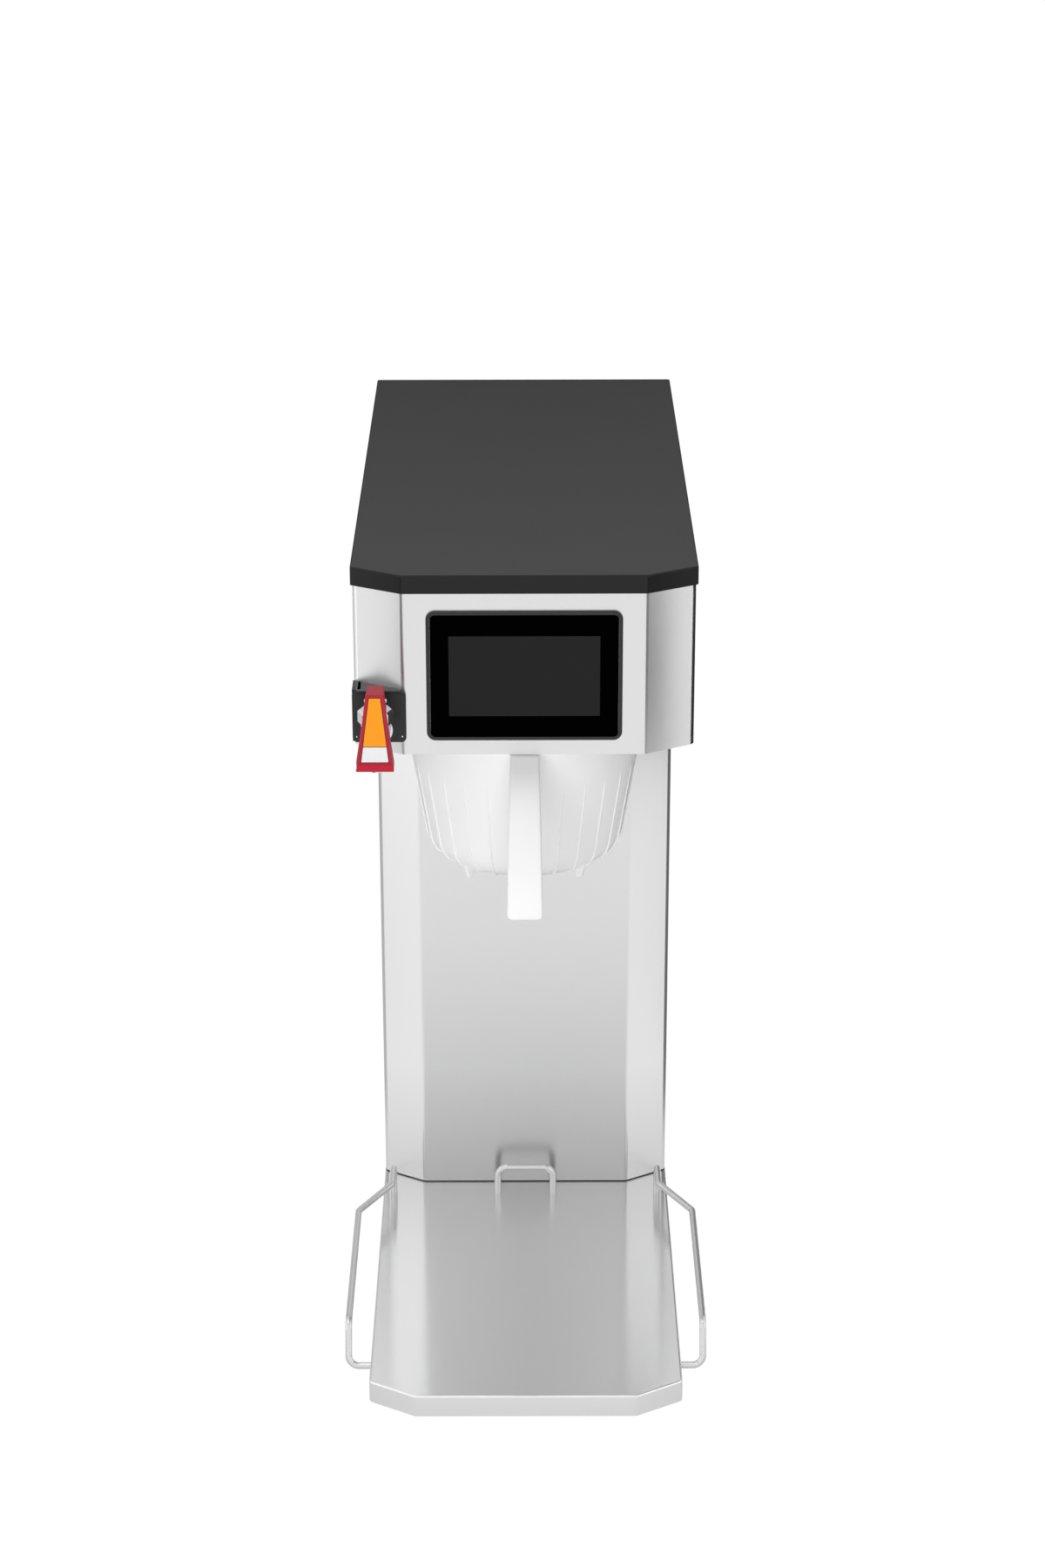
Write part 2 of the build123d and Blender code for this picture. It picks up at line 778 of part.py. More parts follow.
# Hot water faucet body: an upright barrel with its spout, and a level shank through the cabinet
shank_end = cabinet_front + shank_behind
with BuildPart() as faucet_body:
    with BuildSketch(Plane(origin=(faucet_x, faucet_y, 0), x_dir=(1, 0, 0), z_dir=(0, -1, 0))):
        with BuildLine():
            Polyline(
                (0, spout_bottom),
                (spout_radius, spout_bottom),
                (spout_radius, spout_top),
                (barrel_waist_radius, barrel_waist),
                (barrel_radius, barrel_top),
                (0, barrel_top),
                close=True,
            )
        make_face()
    revolve(axis=Axis((faucet_x, faucet_y, 0), (0, 0, 1)))
    with BuildSketch(upright_plane(shank_end)):
        with Locations((faucet_x, shank_height)):
            Circle(shank_radius)
    extrude(amount=shank_behind + faucet_reach)
    with BuildSketch(upright_plane(plate_front - faucet_field_rise)):
        with Locations((faucet_x, shank_height)):
            Circle(shank_collar_radius)
    extrude(amount=shank_collar_width)
    with BuildSketch(upright_plane(shank_end + hose_spigot_length)):
        with Locations((faucet_x, shank_height)):
            Circle(hose_spigot_radius)
    extrude(amount=hose_spigot_length)
    with BuildSketch(Plane.XY.offset(seat_height)):
        with Locations((faucet_x, faucet_y)):
            Circle(chamber_radius)
    extrude(amount=barrel_top - seat_height, mode=Mode.SUBTRACT)
    with BuildSketch(Plane.XY.offset(spout_bottom)):
        with Locations((faucet_x, faucet_y)):
            Circle(spout_bore)
    extrude(amount=seat_height - spout_bottom, mode=Mode.SUBTRACT)
save(faucet_body, "faucet_body")

with BuildPart() as faucet_bonnet:
    with BuildSketch(Plane.XY.offset(barrel_top)):
        with Locations((faucet_x, faucet_y)):
            RegularPolygon(radius=bonnet_radius, side_count=bonnet_sides)
    extrude(amount=bonnet_height)
    chamfer(faucet_bonnet.faces().sort_by(Axis.Z)[-1].edges(), length=bonnet_bevel)
    with BuildSketch(Plane.XY.offset(barrel_top)):
        with Locations((faucet_x, faucet_y)):
            Circle(chamber_radius)
    extrude(amount=bonnet_height - bonnet_roof, mode=Mode.SUBTRACT)
    with BuildSketch(Plane.XY.offset(barrel_top)):
        with Locations((faucet_x, faucet_y)):
            Circle(stem_radius + stem_bore_clearance)
    extrude(amount=bonnet_height, mode=Mode.SUBTRACT)
save(faucet_bonnet, "faucet_bonnet")

# Slanted spacer and nut that hold the shank behind the cut corner
spacer_back = shank_end - shank_nut_width
with BuildPart() as shank_spacer:
    with BuildSketch(upright_plane(spacer_back)):
        with Locations((faucet_x, shank_height)):
            Circle(shank_spacer_radius)
            Circle(shank_radius + spigot_clearance, mode=Mode.SUBTRACT)
    extrude(amount=shank_behind)
    corner_angle = math.atan2(head_cut_y, head_cut_x)
    skin = sheet / math.cos(corner_angle)
    with BuildSketch(Plane.XY.offset(shank_height - 2 * shank_spacer_radius)):
        with BuildLine():
            Polyline(
                (-cabinet_half + head_cut_x, cabinet_front + skin),
                (-cabinet_half, cabinet_front + head_cut_y + skin),
                (-cabinet_half - head_cut_x, cabinet_front + head_cut_y + skin),
                (-cabinet_half - head_cut_x, cabinet_front - shank_behind),
                (-cabinet_half + head_cut_x, cabinet_front - shank_behind),
                close=True,
            )
        make_face()
    extrude(amount=4 * shank_spacer_radius, mode=Mode.SUBTRACT)
    with BuildSketch(Plane.XY.offset(floor_bottom)):
        with Locations((-cabinet_half, cabinet_front)):
            Rectangle(2 * (sheet + touch_gap), lid_depth)
        with Locations((faucet_x, cabinet_front)):
            Rectangle(4 * shank_spacer_radius, lid_depth)
    extrude(amount=sheet + touch_gap, mode=Mode.SUBTRACT)
save(shank_spacer, "shank_spacer")

with BuildPart() as shank_nut:
    with BuildSketch(upright_plane(shank_end)):
        with Locations((faucet_x, shank_height)):
            hexagon(shank_nut_flats)
            Circle(shank_radius + spigot_clearance, mode=Mode.SUBTRACT)
    extrude(amount=shank_nut_width)
save(shank_nut, "shank_nut")

# Seat cup, spring, stem and pin of the faucet
cup_bottom = seat_height + touch_gap
cup_top = cup_bottom + cup_height
with BuildPart() as seat_cup:
    with BuildSketch(Plane.XY.offset(cup_bottom)):
        with Locations((faucet_x, faucet_y)):
            Circle(cup_radius)
    extrude(amount=cup_height)
    chamfer(seat_cup.faces().sort_by(Axis.Z)[0].edges(), length=(cup_radius - spout_bore) / 2)
    with BuildSketch(Plane.XY.offset(cup_top - cup_socket)):
        with Locations((faucet_x, faucet_y)):
            Circle(stem_radius)
    extrude(amount=cup_socket, mode=Mode.SUBTRACT)
save(seat_cup, "seat_cup")

with BuildPart() as faucet_stem:
    with BuildSketch(Plane.XY.offset(cup_top - cup_socket)):
        with Locations((faucet_x, faucet_y)):
            Circle(stem_radius)
    extrude(amount=pin_height - cup_top + cup_socket)
    with BuildSketch(Plane.XY.offset(bonnet_top + stem_eye_gap)):
        with Locations((faucet_x, faucet_y)):
            Circle(stem_eye_radius)
    extrude(amount=pin_height + stem_crown - bonnet_top - stem_eye_gap)
    fillet(faces().sort_by(Axis.Z)[-1].edges(), radius=stem_eye_radius / 4)
    with BuildSketch(Plane.YZ.offset(faucet_x)):
        with Locations((faucet_y, pin_height)):
            Circle(pin_radius + pin_clearance)
    extrude(amount=2 * stem_eye_radius, both=True, mode=Mode.SUBTRACT)
save(faucet_stem, "faucet_stem")

with BuildPart() as faucet_spring:
    with BuildSketch(Plane.XY.offset(cup_top + touch_gap)):
        with Locations((faucet_x, faucet_y)):
            Circle(spring_outer)
            Circle(spring_inner, mode=Mode.SUBTRACT)
    extrude(amount=bonnet_top - bonnet_roof - cup_top - 2 * touch_gap)
save(faucet_spring, "faucet_spring")

with BuildPart() as faucet_pin:
    with BuildSketch(Plane.YZ.offset(faucet_x)):
        with Locations((faucet_y, pin_height)):
            Circle(pin_radius)
    extrude(amount=pin_length / 2, both=True)
    fillet(faucet_pin.edges().filter_by(GeomType.CIRCLE), radius=pin_radius / 3)
save(faucet_pin, "faucet_pin")

# Red pull handle: a tapered channel with two cheeks round the pin and a lip at its foot
handle_bottom = handle_top - handle_length
handle_back_y = faucet_y + handle_rear_overhang
handle_front_y = handle_back_y - handle_top_depth
lip_top = handle_bottom + handle_lip_height
cheek_bottom = pin_height - cheek_radius


def face_y(height):
    """Y of the handle's raked front face at a height."""
    return handle_front_y - handle_rake * (handle_top - height) / handle_length


def handle_side(inset):
    """Side view of the handle; a positive inset gives its hollow, open at the back."""
    back = 2 * handle_top_depth if inset else 0
    with BuildSketch(Plane.YZ.offset(faucet_x)) as side:
        with BuildLine():
            if inset:
                Polyline(
                    (handle_back_y + back, handle_top - inset),
                    (face_y(handle_top - inset) + inset, handle_top - inset),
                    (face_y(lip_top) + inset, lip_top),
                    (face_y(lip_top) + back, lip_top),
                    close=True,
                )
            else:
                Polyline(
                    (handle_back_y - cheek_radius, cheek_bottom),
                    (face_y(cheek_bottom) + handle_flank_depth, cheek_bottom),
                    (face_y(handle_bottom) + handle_flank_depth, handle_bottom),
                    (face_y(handle_bottom) - handle_lip_proud, handle_bottom),
                    (face_y(lip_top) - handle_lip_proud, lip_top),
                    (face_y(lip_top + handle_lip_proud), lip_top + handle_lip_proud),
                    (handle_front_y, handle_top),
                    (handle_back_y, handle_top),
                    (handle_back_y, pin_height),
                )
                JernArc((handle_back_y, pin_height), (0, -1), cheek_radius, -90)
        make_face()
    return side.sketch


def handle_front(inset):
    """Front view of the handle, narrow at the top."""
    with BuildSketch(upright_plane(handle_back_y + 2 * handle_top_depth)) as front:
        with BuildLine():
            Polyline(
                (faucet_x - handle_top_width / 2 + inset, handle_top),
                (faucet_x + handle_top_width / 2 - inset, handle_top),
                (faucet_x + handle_bottom_width / 2 - inset, handle_bottom),
                (faucet_x - handle_bottom_width / 2 + inset, handle_bottom),
                close=True,
            )
        make_face()
    return front.sketch


handle_depth_reach = 4 * handle_top_depth + 2 * handle_rake
hollow_side = handle_side(handle_wall)
hollow_front = handle_front(handle_wall)
with BuildPart() as handle_hollow:
    extrude(hollow_side, amount=handle_bottom_width, both=True)
    extrude(hollow_front, amount=handle_depth_reach, mode=Mode.INTERSECT)

outer_side = handle_side(0)
outer_front = handle_front(0)
with BuildPart() as faucet_handle:
    extrude(outer_side, amount=handle_bottom_width, both=True)
    extrude(outer_front, amount=handle_depth_reach, mode=Mode.INTERSECT)
    add(handle_hollow.part, mode=Mode.SUBTRACT)
    with BuildSketch(Plane.YZ.offset(faucet_x)):
        with Locations((faucet_y, pin_height)):
            Circle(pin_radius + pin_clearance / 2)
    extrude(amount=handle_bottom_width, both=True, mode=Mode.SUBTRACT)
save(faucet_handle, "faucet_handle")

# Bare label on the handle's face
rake_angle = math.atan2(handle_rake, handle_length)
face_plane = Plane(
    origin=(faucet_x, handle_front_y, handle_top),
    x_dir=(1, 0, 0),
    z_dir=(0, -math.cos(rake_angle), math.sin(rake_angle)),
)
face_length = math.hypot(handle_rake, handle_length)


def face_half_width(distance):
    """Half width of the handle's face at a distance below its top edge."""
    share = distance / face_length
    return (handle_top_width + share * (handle_bottom_width - handle_top_width)) / 2


with BuildPart() as handle_label:
    label_top = label_top_gap
    label_bottom = face_length - handle_lip_height - label_bottom_gap
    top_half = face_half_width(label_top) - label_margin
    bottom_half = face_half_width(label_bottom) - label_margin
    with BuildSketch(face_plane):
        with BuildLine():
            Polyline(
                (-top_half, -label_top),
                (top_half, -label_top),
                (bottom_half, -label_bottom),
                (-bottom_half, -label_bottom),
                close=True,
            )
        make_face()
    extrude(amount=label_thickness)
save(handle_label, "handle_label")

# Brew funnel: tapered bowl with a rim flange, ribs, feet, drain and a boss for its handle
rim_bottom = funnel_rim_top - funnel_rim_thickness
funnel_bottom = funnel_rim_top - funnel_depth
axis_plane = upright_plane(funnel_axis_y)
axis_line = Axis((0, funnel_axis_y, 0), (0, 0, 1))


def wall_radius(height):
    """Outer radius of the bowl's tapered wall at a height."""
    return funnel_mouth_radius - funnel_taper * (rim_bottom - height)


tilt_angle = math.degrees(math.atan(funnel_taper))
corner_axis_z = funnel_bottom + funnel_corner_radius
corner_axis_r = wall_radius(corner_axis_z) - funnel_corner_radius / math.cos(math.radians(tilt_angle))


def round_corner(angle, stand):
    """A point round the bowl's lower corner, an angle below level and a height off the surface."""
    reach = funnel_corner_radius + stand
    return (
        corner_axis_r + reach * math.cos(math.radians(angle)),
        corner_axis_z - reach * math.sin(math.radians(angle)),
    )


with BuildPart() as funnel_rib:
    rib_top = funnel_rim_top - rib_top_drop
    with BuildSketch(Plane.XZ):
        with BuildLine():
            Polyline(
                round_corner(rib_fade_angle, -rib_sink),
                (corner_axis_r, corner_axis_z),
                (wall_radius(rib_top) - rib_sink, rib_top),
                round_corner(tilt_angle, rib_rise),
            )
            ThreePointArc(
                round_corner(tilt_angle, rib_rise),
                round_corner((tilt_angle + rib_end_angle) / 2, rib_rise),
                round_corner(rib_end_angle, rib_rise),
            )
            Line(round_corner(rib_end_angle, rib_rise), round_corner(rib_fade_angle, -rib_sink))
        make_face()
    extrude(amount=rib_thickness / 2, both=True)

with BuildPart() as funnel_foot:
    with BuildSketch(Plane.XZ):
        with BuildLine():
            Polyline(
                (foot_ring_radius - foot_width / 2, funnel_bottom + foot_root),
                (foot_ring_radius + foot_width / 2, funnel_bottom + foot_root),
                (foot_ring_radius + foot_width / 8, funnel_bottom - foot_height),
                (foot_ring_radius - foot_width / 8, funnel_bottom - foot_height),
                close=True,
            )
        make_face()
    extrude(amount=foot_thickness / 2, both=True)

rib_pitch = 360 / funnel_ribs
boss_face_y = funnel_axis_y - funnel_mouth_radius - boss_stand_off
grip_top = funnel_rim_top - grip_top_drop
grip_screw_z = grip_top - boss_height + grip_screw_head + grip_screw_edge
grip_screw_points = [(-grip_screw_pitch / 2, grip_screw_z), (grip_screw_pitch / 2, grip_screw_z)]
with BuildPart() as funnel_basket:
    with BuildSketch(axis_plane) as bowl:
        with BuildLine():
            Polyline(
                (0, funnel_bottom),
                (wall_radius(funnel_bottom), funnel_bottom),
                (funnel_mouth_radius, rim_bottom),
                (funnel_rim_radius, rim_bottom),
                (funnel_rim_radius, funnel_rim_top),
                (0, funnel_rim_top),
                close=True,
            )
        make_face()
        lower_corner = bowl.vertices().group_by(Axis.Y)[0].sort_by(Axis.X)[-1]
        fillet(lower_corner, radius=funnel_corner_radius)
    revolve(axis=axis_line)
    with Locations((0, funnel_axis_y)):
        with PolarLocations(0, funnel_ribs, start_angle=rib_pitch / 2 - 90):
            add(funnel_rib.part)
        with PolarLocations(0, funnel_feet, start_angle=-45):
            add(funnel_foot.part)
    with BuildSketch(Plane.XY.offset(funnel_bottom - nub_height)):
        with Locations((0, funnel_axis_y)):
            for angle in (nub_angle, 180 - nub_angle):
                with PolarLocations(nub_ring_radius, 2, start_angle=angle - 90):
                    Rectangle(nub_size, nub_size)
    extrude(amount=2 * nub_height)
    with BuildSketch(Plane.XY.offset(funnel_bottom - drain_spout_length)):
        with Locations((0, funnel_axis_y)):
            Circle(funnel_drain_radius + drain_spout_wall)
    extrude(amount=drain_spout_length)
    with BuildSketch(upright_plane(boss_face_y + funnel_mouth_radius / 2)):
        with Locations((0, grip_top - boss_height / 2)):
            Rectangle(2 * boss_half_width, boss_height)
    extrude(amount=funnel_mouth_radius / 2)
    with BuildSketch(axis_plane) as hollow:
        with BuildLine():
            floor_height = funnel_bottom + funnel_wall
            Polyline(
                (0, floor_height),
                (wall_radius(floor_height) - funnel_wall, floor_height),
                (wall_radius(funnel_rim_top) - funnel_wall, funnel_rim_top),
                (0, funnel_rim_top),
                close=True,
            )
        make_face()
        lower_corner = hollow.vertices().group_by(Axis.Y)[0].sort_by(Axis.X)[-1]
        fillet(lower_corner, radius=funnel_corner_radius - funnel_wall)
    revolve(axis=axis_line, mode=Mode.SUBTRACT)
    with BuildSketch(Plane.XY.offset(funnel_bottom - drain_spout_length)):
        with Locations((0, funnel_axis_y)):
            Circle(funnel_drain_radius)
    extrude(amount=drain_spout_length + funnel_wall, mode=Mode.SUBTRACT)
    with BuildSketch(upright_plane(boss_face_y + grip_screw_bite)):
        with Locations(*grip_screw_points):
            Circle(grip_screw_radius + screw_clearance)
    extrude(amount=grip_screw_bite, mode=Mode.SUBTRACT)
save(funnel_basket, "funnel_basket")

# Funnel handle: a strap that leaves the rim almost level and bends down
grip_chord = math.hypot(grip_reach, grip_fall)
grip_bend_radius = (grip_chord ** 2 / 4 + grip_bow ** 2) / (2 * grip_bow)
grip_out = Vector(0, -grip_fall, grip_reach) / grip_chord
grip_root = Vector(0, boss_face_y, grip_top)
grip_tip = Vector(0, boss_face_y - grip_reach, grip_top - grip_fall)
grip_crown = (grip_root + grip_tip) / 2 + grip_out * grip_bow
grip_centre = grip_crown - grip_out * grip_bend_radius


def towards_centre(point):
    """The point on the strap's inner face that faces a point of its outer face."""
    return grip_centre + (point - grip_centre) * (1 - grip_thickness / grip_bend_radius)


with BuildPart() as funnel_handle:
    inner_tip = towards_centre(grip_tip)
    inner_crown = towards_centre(grip_crown)
    inner_root = towards_centre(grip_root)
    with BuildSketch(Plane.YZ):
        with BuildLine():
            ThreePointArc(
                (grip_root.Y, grip_root.Z),
                (grip_crown.Y, grip_crown.Z),
                (grip_tip.Y, grip_tip.Z),
            )
            Line((grip_tip.Y, grip_tip.Z), (inner_tip.Y, inner_tip.Z))
            ThreePointArc(
                (inner_tip.Y, inner_tip.Z),
                (inner_crown.Y, inner_crown.Z),
                (inner_root.Y, inner_root.Z),
            )
            Line((inner_root.Y, inner_root.Z), (grip_root.Y, grip_root.Z))
        make_face()
        with Locations((boss_face_y - grip_thickness / 2, grip_top - boss_height / 2)):
            Rectangle(grip_thickness, boss_height - 2 * grip_foot_margin)
        with Locations((boss_face_y + grip_thickness / 2, grip_top - boss_height / 2)):
            Rectangle(grip_thickness, 2 * boss_height, mode=Mode.SUBTRACT)
    extrude(amount=grip_tip_width, both=True)
    with BuildSketch(upright_plane(boss_face_y)) as grip_front:
        with BuildLine():
            Polyline(
                (-grip_top_width / 2, grip_top),
                (grip_top_width / 2, grip_top),
                (grip_tip_width / 2, inner_tip.Z),
                (-grip_tip_width / 2, inner_tip.Z),
                close=True,
            )
        make_face()
        fillet(grip_front.vertices().group_by(Axis.Y)[0], radius=grip_tip_radius)
    extrude(amount=grip_reach + grip_thickness, mode=Mode.INTERSECT)
    with BuildSketch(upright_plane(boss_face_y)):
        with Locations(*grip_screw_points):
            Circle(grip_screw_radius + screw_clearance)
    extrude(amount=grip_thickness, mode=Mode.SUBTRACT)
save(funnel_handle, "funnel_handle")

with BuildPart() as funnel_handle_screws:
    with BuildSketch(upright_plane(boss_face_y + grip_screw_bite)):
        with Locations(*grip_screw_points):
            Circle(grip_screw_radius)
    extrude(amount=grip_screw_bite + grip_thickness)
    with BuildSketch(upright_plane(boss_face_y - grip_thickness)):
        with Locations(*grip_screw_points):
            Circle(grip_screw_head)
    extrude(amount=grip_screw_head_height)
save(funnel_handle_screws, "funnel_handle_screws")

# Rails that the funnel's rim slides in
rail_front_y = cabinet_front + rail_front_setback


def funnel_rail(side):
    """Section of one rail, extruded backwards from the front."""
    web = funnel_rim_radius + rail_side_gap
    lip_top = rim_bottom - touch_gap
    outline = [
        (web - rail_side_gap - rail_lap, lip_top - rail_sheet),
        (web + rail_sheet, lip_top - rail_sheet),
        (web + rail_sheet, floor_bottom - rail_sheet),
        (web + rail_flange, floor_bottom - rail_sheet),
        (web + rail_flange, floor_bottom),
        (web, floor_bottom),
        (web, lip_top),
        (web - rail_side_gap - rail_lap, lip_top),
    ]
    with BuildPart() as rail:
        with BuildSketch(upright_plane(rail_front_y + rail_length)):
            with BuildLine():
                Polyline(*[(side * x, z) for x, z in outline], close=True)
            make_face()
        extrude(amount=rail_length)
    return rail


for side, name in ((-1, "funnel_rail_left"), (1, "funnel_rail_right")):
    save(funnel_rail(side), name)

# Spray head, its nipple through the floor, and the bypass nozzle beside it
spray_bottom = funnel_rim_top + spray_gap
spray_top = spray_bottom + spray_thickness
with BuildPart() as spray_head:
    with BuildSketch(Plane.XY.offset(spray_bottom)):
        with Locations(spray_axis):
            Circle(spray_radius)
            with PolarLocations(spray_ring_radius, spray_ring_holes):
                Circle(spray_hole_radius, mode=Mode.SUBTRACT)
            with PolarLocations(spray_inner_ring_radius, spray_inner_holes):
                Circle(spray_hole_radius, mode=Mode.SUBTRACT)
    extrude(amount=spray_thickness)
    fillet(faces().sort_by(Axis.Z)[0].outer_wire().edges(), radius=spray_thickness / 2)
save(spray_head, "spray_head")


def floor_fitting(place, start, radius, flats, shoulder):
    """A threaded fitting up through the floor, with its nut and a hose spigot on top."""
    with BuildPart() as fitting:
        with BuildSketch(Plane.XY.offset(start)):
            with Locations(place):
                Circle(radius)
        extrude(amount=floor_top + nipple_rise - start)
        if shoulder:
            with BuildSketch(Plane.XY.offset(start)):
                with Locations(place):
                    Circle(shoulder)
            extrude(amount=floor_bottom - start)
        with BuildSketch(Plane.XY.offset(floor_top)):
            with Locations(place):
                hexagon(flats)
        extrude(amount=nipple_nut_height)
        with BuildSketch(Plane.XY.offset(floor_top + nipple_rise)):
            with Locations(place):
                Circle(hose_spigot_radius)
        extrude(amount=hose_spigot_length)
    return fitting


save(
    floor_fitting(spray_axis, spray_top, nipple_radius, nipple_flats, nipple_shoulder_radius),
    "spray_nipple",
)
save(floor_fitting(bypass_axis, spray_bottom, bypass_radius, bypass_flats, None), "bypass_nozzle")


def block(mid_x, y_range, z_range, width):
    """A plain rectangular body between two depths and two heights."""
    with BuildPart() as body:
        with BuildSketch(Plane.XY.offset(z_range[0])):
            with Locations((mid_x, sum(y_range) / 2)):
                Rectangle(width, y_range[1] - y_range[0])
        extrude(amount=z_range[1] - z_range[0])
    return body.part


def level_round(x, z, radius, y_back, y_front):
    """A level round bar along Y."""
    with BuildPart() as bar:
        with BuildSketch(upright_plane(y_back)):
            with Locations((x, z)):
                Circle(radius)
        extrude(amount=y_back - y_front)
    return bar.part


# Water tank on its shelf
tank_mid_y = (column_front + wrap_rear) / 2
tank_front = tank_mid_y - tank_depth / 2
tank_rear = tank_mid_y + tank_depth / 2
fill_y = tank_rear - fill_inset_y
with BuildPart() as tank_shelf:
    shelf_front = column_front + column_cut_y + bend_radius
    shelf_rear = wrap_rear - bend_radius - shelf_clearance
    with BuildSketch(Plane.XY.offset(tank_bottom - sheet)):
        with Locations((0, (shelf_front + shelf_rear) / 2)):
            Rectangle(2 * inner_half, shelf_rear - shelf_front)
        with Locations((fill_x, fill_y)):
            Circle(hose_radius + shelf_clearance, mode=Mode.SUBTRACT)
    extrude(amount=sheet)
    with BuildSketch(Plane.XY.offset(tank_bottom - shelf_flange)):
        for side in (-1, 1):
            with Locations((side * (inner_half - sheet / 2), (shelf_front + shelf_rear) / 2)):
                Rectangle(sheet, shelf_rear - shelf_front)
    extrude(amount=shelf_flange)
save(tank_shelf, "tank_shelf")

with BuildPart() as water_tank:
    with BuildSketch(Plane.XY.offset(tank_bottom)) as tank_plan:
        with Locations((0, tank_mid_y)):
            RectangleRounded(tank_width, tank_depth, tank_corner)
    extrude(amount=tank_height)
    with BuildSketch(Plane.XY.offset(tank_bottom + tank_wall)):
        with Locations((0, tank_mid_y)):
            RectangleRounded(
                tank_width - 2 * tank_wall,
                tank_depth - 2 * tank_wall,
                tank_corner - tank_wall,
            )
    extrude(amount=tank_height - tank_wall, mode=Mode.SUBTRACT)
    with BuildSketch(Plane.XY.offset(tank_bottom - hose_spigot_length)):
        with Locations((fill_x, fill_y)):
            Circle(hose_spigot_radius)
    extrude(amount=hose_spigot_length)
    port_end = tank_front - hose_spigot_length
    add(level_round(faucet_port_x, faucet_port_z, hose_spigot_radius, tank_front, port_end))
save(water_tank, "water_tank")

lid_top_z = tank_top + tank_lid_thickness
element_y = tank_mid_y + element_offset_y
with BuildPart() as tank_lid:
    with BuildSketch(Plane.XY.offset(tank_top)):
        with Locations((0, tank_mid_y)):
            RectangleRounded(tank_width + 2 * tank_lid_lap, tank_depth + 2 * tank_lid_lap, tank_corner)
        with Locations((-element_half_span, element_y), (element_half_span, element_y)):
            Circle(element_radius + spigot_clearance, mode=Mode.SUBTRACT)
        with Locations((probe_x, tank_mid_y)):
            Circle(probe_radius + spigot_clearance, mode=Mode.SUBTRACT)
    extrude(amount=tank_lid_thickness)
save(tank_lid, "tank_lid")


def bent_round(points, bend, radius, bore=0):
    """A round bar, wire or hose along straight runs with rounded corners."""
    with BuildPart() as bar:
        with BuildLine() as path:
            if len(points) > 2:
                FilletPolyline(*points, radius=bend)
            else:
                Line(*points)
        start = Vector(*points[0])
        with BuildSketch(Plane(origin=start, z_dir=Vector(*points[1]) - start)):
            Circle(radius)
            if bore:
                Circle(bore, mode=Mode.SUBTRACT)
        sweep(path=path.line)
    return bar


element_top = lid_top_z + element_terminal
element_low = tank_bottom + element_bottom_gap
element_points = [
    (-element_half_span, element_y, element_top),
    (-element_half_span, element_y, element_low),
    (element_half_span, element_y, element_low),
    (element_half_span, element_y, element_top),
]
save(bent_round(element_points, element_half_span - element_radius, element_radius), "heating_element")

with BuildPart() as temperature_probe:
    with BuildSketch(Plane.XY.offset(lid_top_z - probe_length)):
        with Locations((probe_x, tank_mid_y)):
            Circle(probe_radius)
    extrude(amount=probe_length)
    with BuildSketch(Plane.XY.offset(lid_top_z)):
        with Locations((probe_x, tank_mid_y)):
            Circle(probe_head_radius)
    extrude(amount=probe_head_height)
save(temperature_probe, "temperature_probe")

with BuildPart() as limit_thermostat:
    thermostat_z = tank_top - thermostat_drop
    thermostat_front = tank_front - thermostat_height
    add(level_round(thermostat_x, thermostat_z, thermostat_radius, tank_front, thermostat_front))
save(limit_thermostat, "limit_thermostat")


valve_front = tank_front + valve_inset_y - valve_body / 2
valve_back = valve_front + valve_body
valve_port_z = lid_top_z + valve_port_height


def lid_valve(x):
    """A solenoid valve on the tank's lid, its port towards the front."""
    port_end = valve_front - hose_spigot_length
    with BuildPart() as valve:
        add(block(x, (valve_front, valve_back), (lid_top_z, lid_top_z + valve_height), valve_body))
        add(level_round(x, valve_port_z, coil_radius, valve_back + coil_length, valve_back))
        add(level_round(x, valve_port_z, hose_spigot_radius, valve_front, port_end))
    return valve


save(lid_valve(0), "brew_valve")
save(lid_valve(bypass_offset), "bypass_valve")

# Fill valve on the base, with the water inlet through the rear panel
with BuildPart() as fill_valve:
    fill_front = fill_y - valve_body / 2
    fill_back = fill_y + valve_body / 2
    fill_top = base_height + fill_valve_height
    fill_coil_z = base_height + fill_valve_height / 3
    add(block(fill_x, (fill_front, fill_back), (base_height, fill_top), valve_body))
    add(level_round(fill_x, fill_coil_z, coil_radius, fill_y, fill_front - coil_length))
    with BuildSketch(Plane.XY.offset(fill_top)):
        with Locations((fill_x, fill_y)):
            Circle(hose_spigot_radius)
    extrude(amount=hose_spigot_length)
save(fill_valve, "fill_valve")

with BuildPart() as inlet_fitting:
    inlet_shoulder = cabinet_rear + inlet_nut_width
    add(level_round(fill_x, inlet_height, inlet_tube_radius, inlet_shoulder, fill_back))
    add(level_round(fill_x, inlet_height, flare_radius, inlet_shoulder + flare_length, inlet_shoulder))
    with BuildSketch(upright_plane(inlet_shoulder)):
        with Locations(inlet_point):
            hexagon(inlet_flats)
    extrude(amount=inlet_nut_width)
save(inlet_fitting, "inlet_fitting")

# Hoses
fitting_top = floor_top + nipple_rise


def drop_hose(x):
    """A hose from a valve on the tank's lid, forward and down to a fitting in the floor."""
    points = [
        (x, valve_front, valve_port_z),
        (x, funnel_axis_y, valve_port_z),
        (x, funnel_axis_y, fitting_top),
    ]
    return bent_round(points, hose_bend, hose_radius, hose_bore)


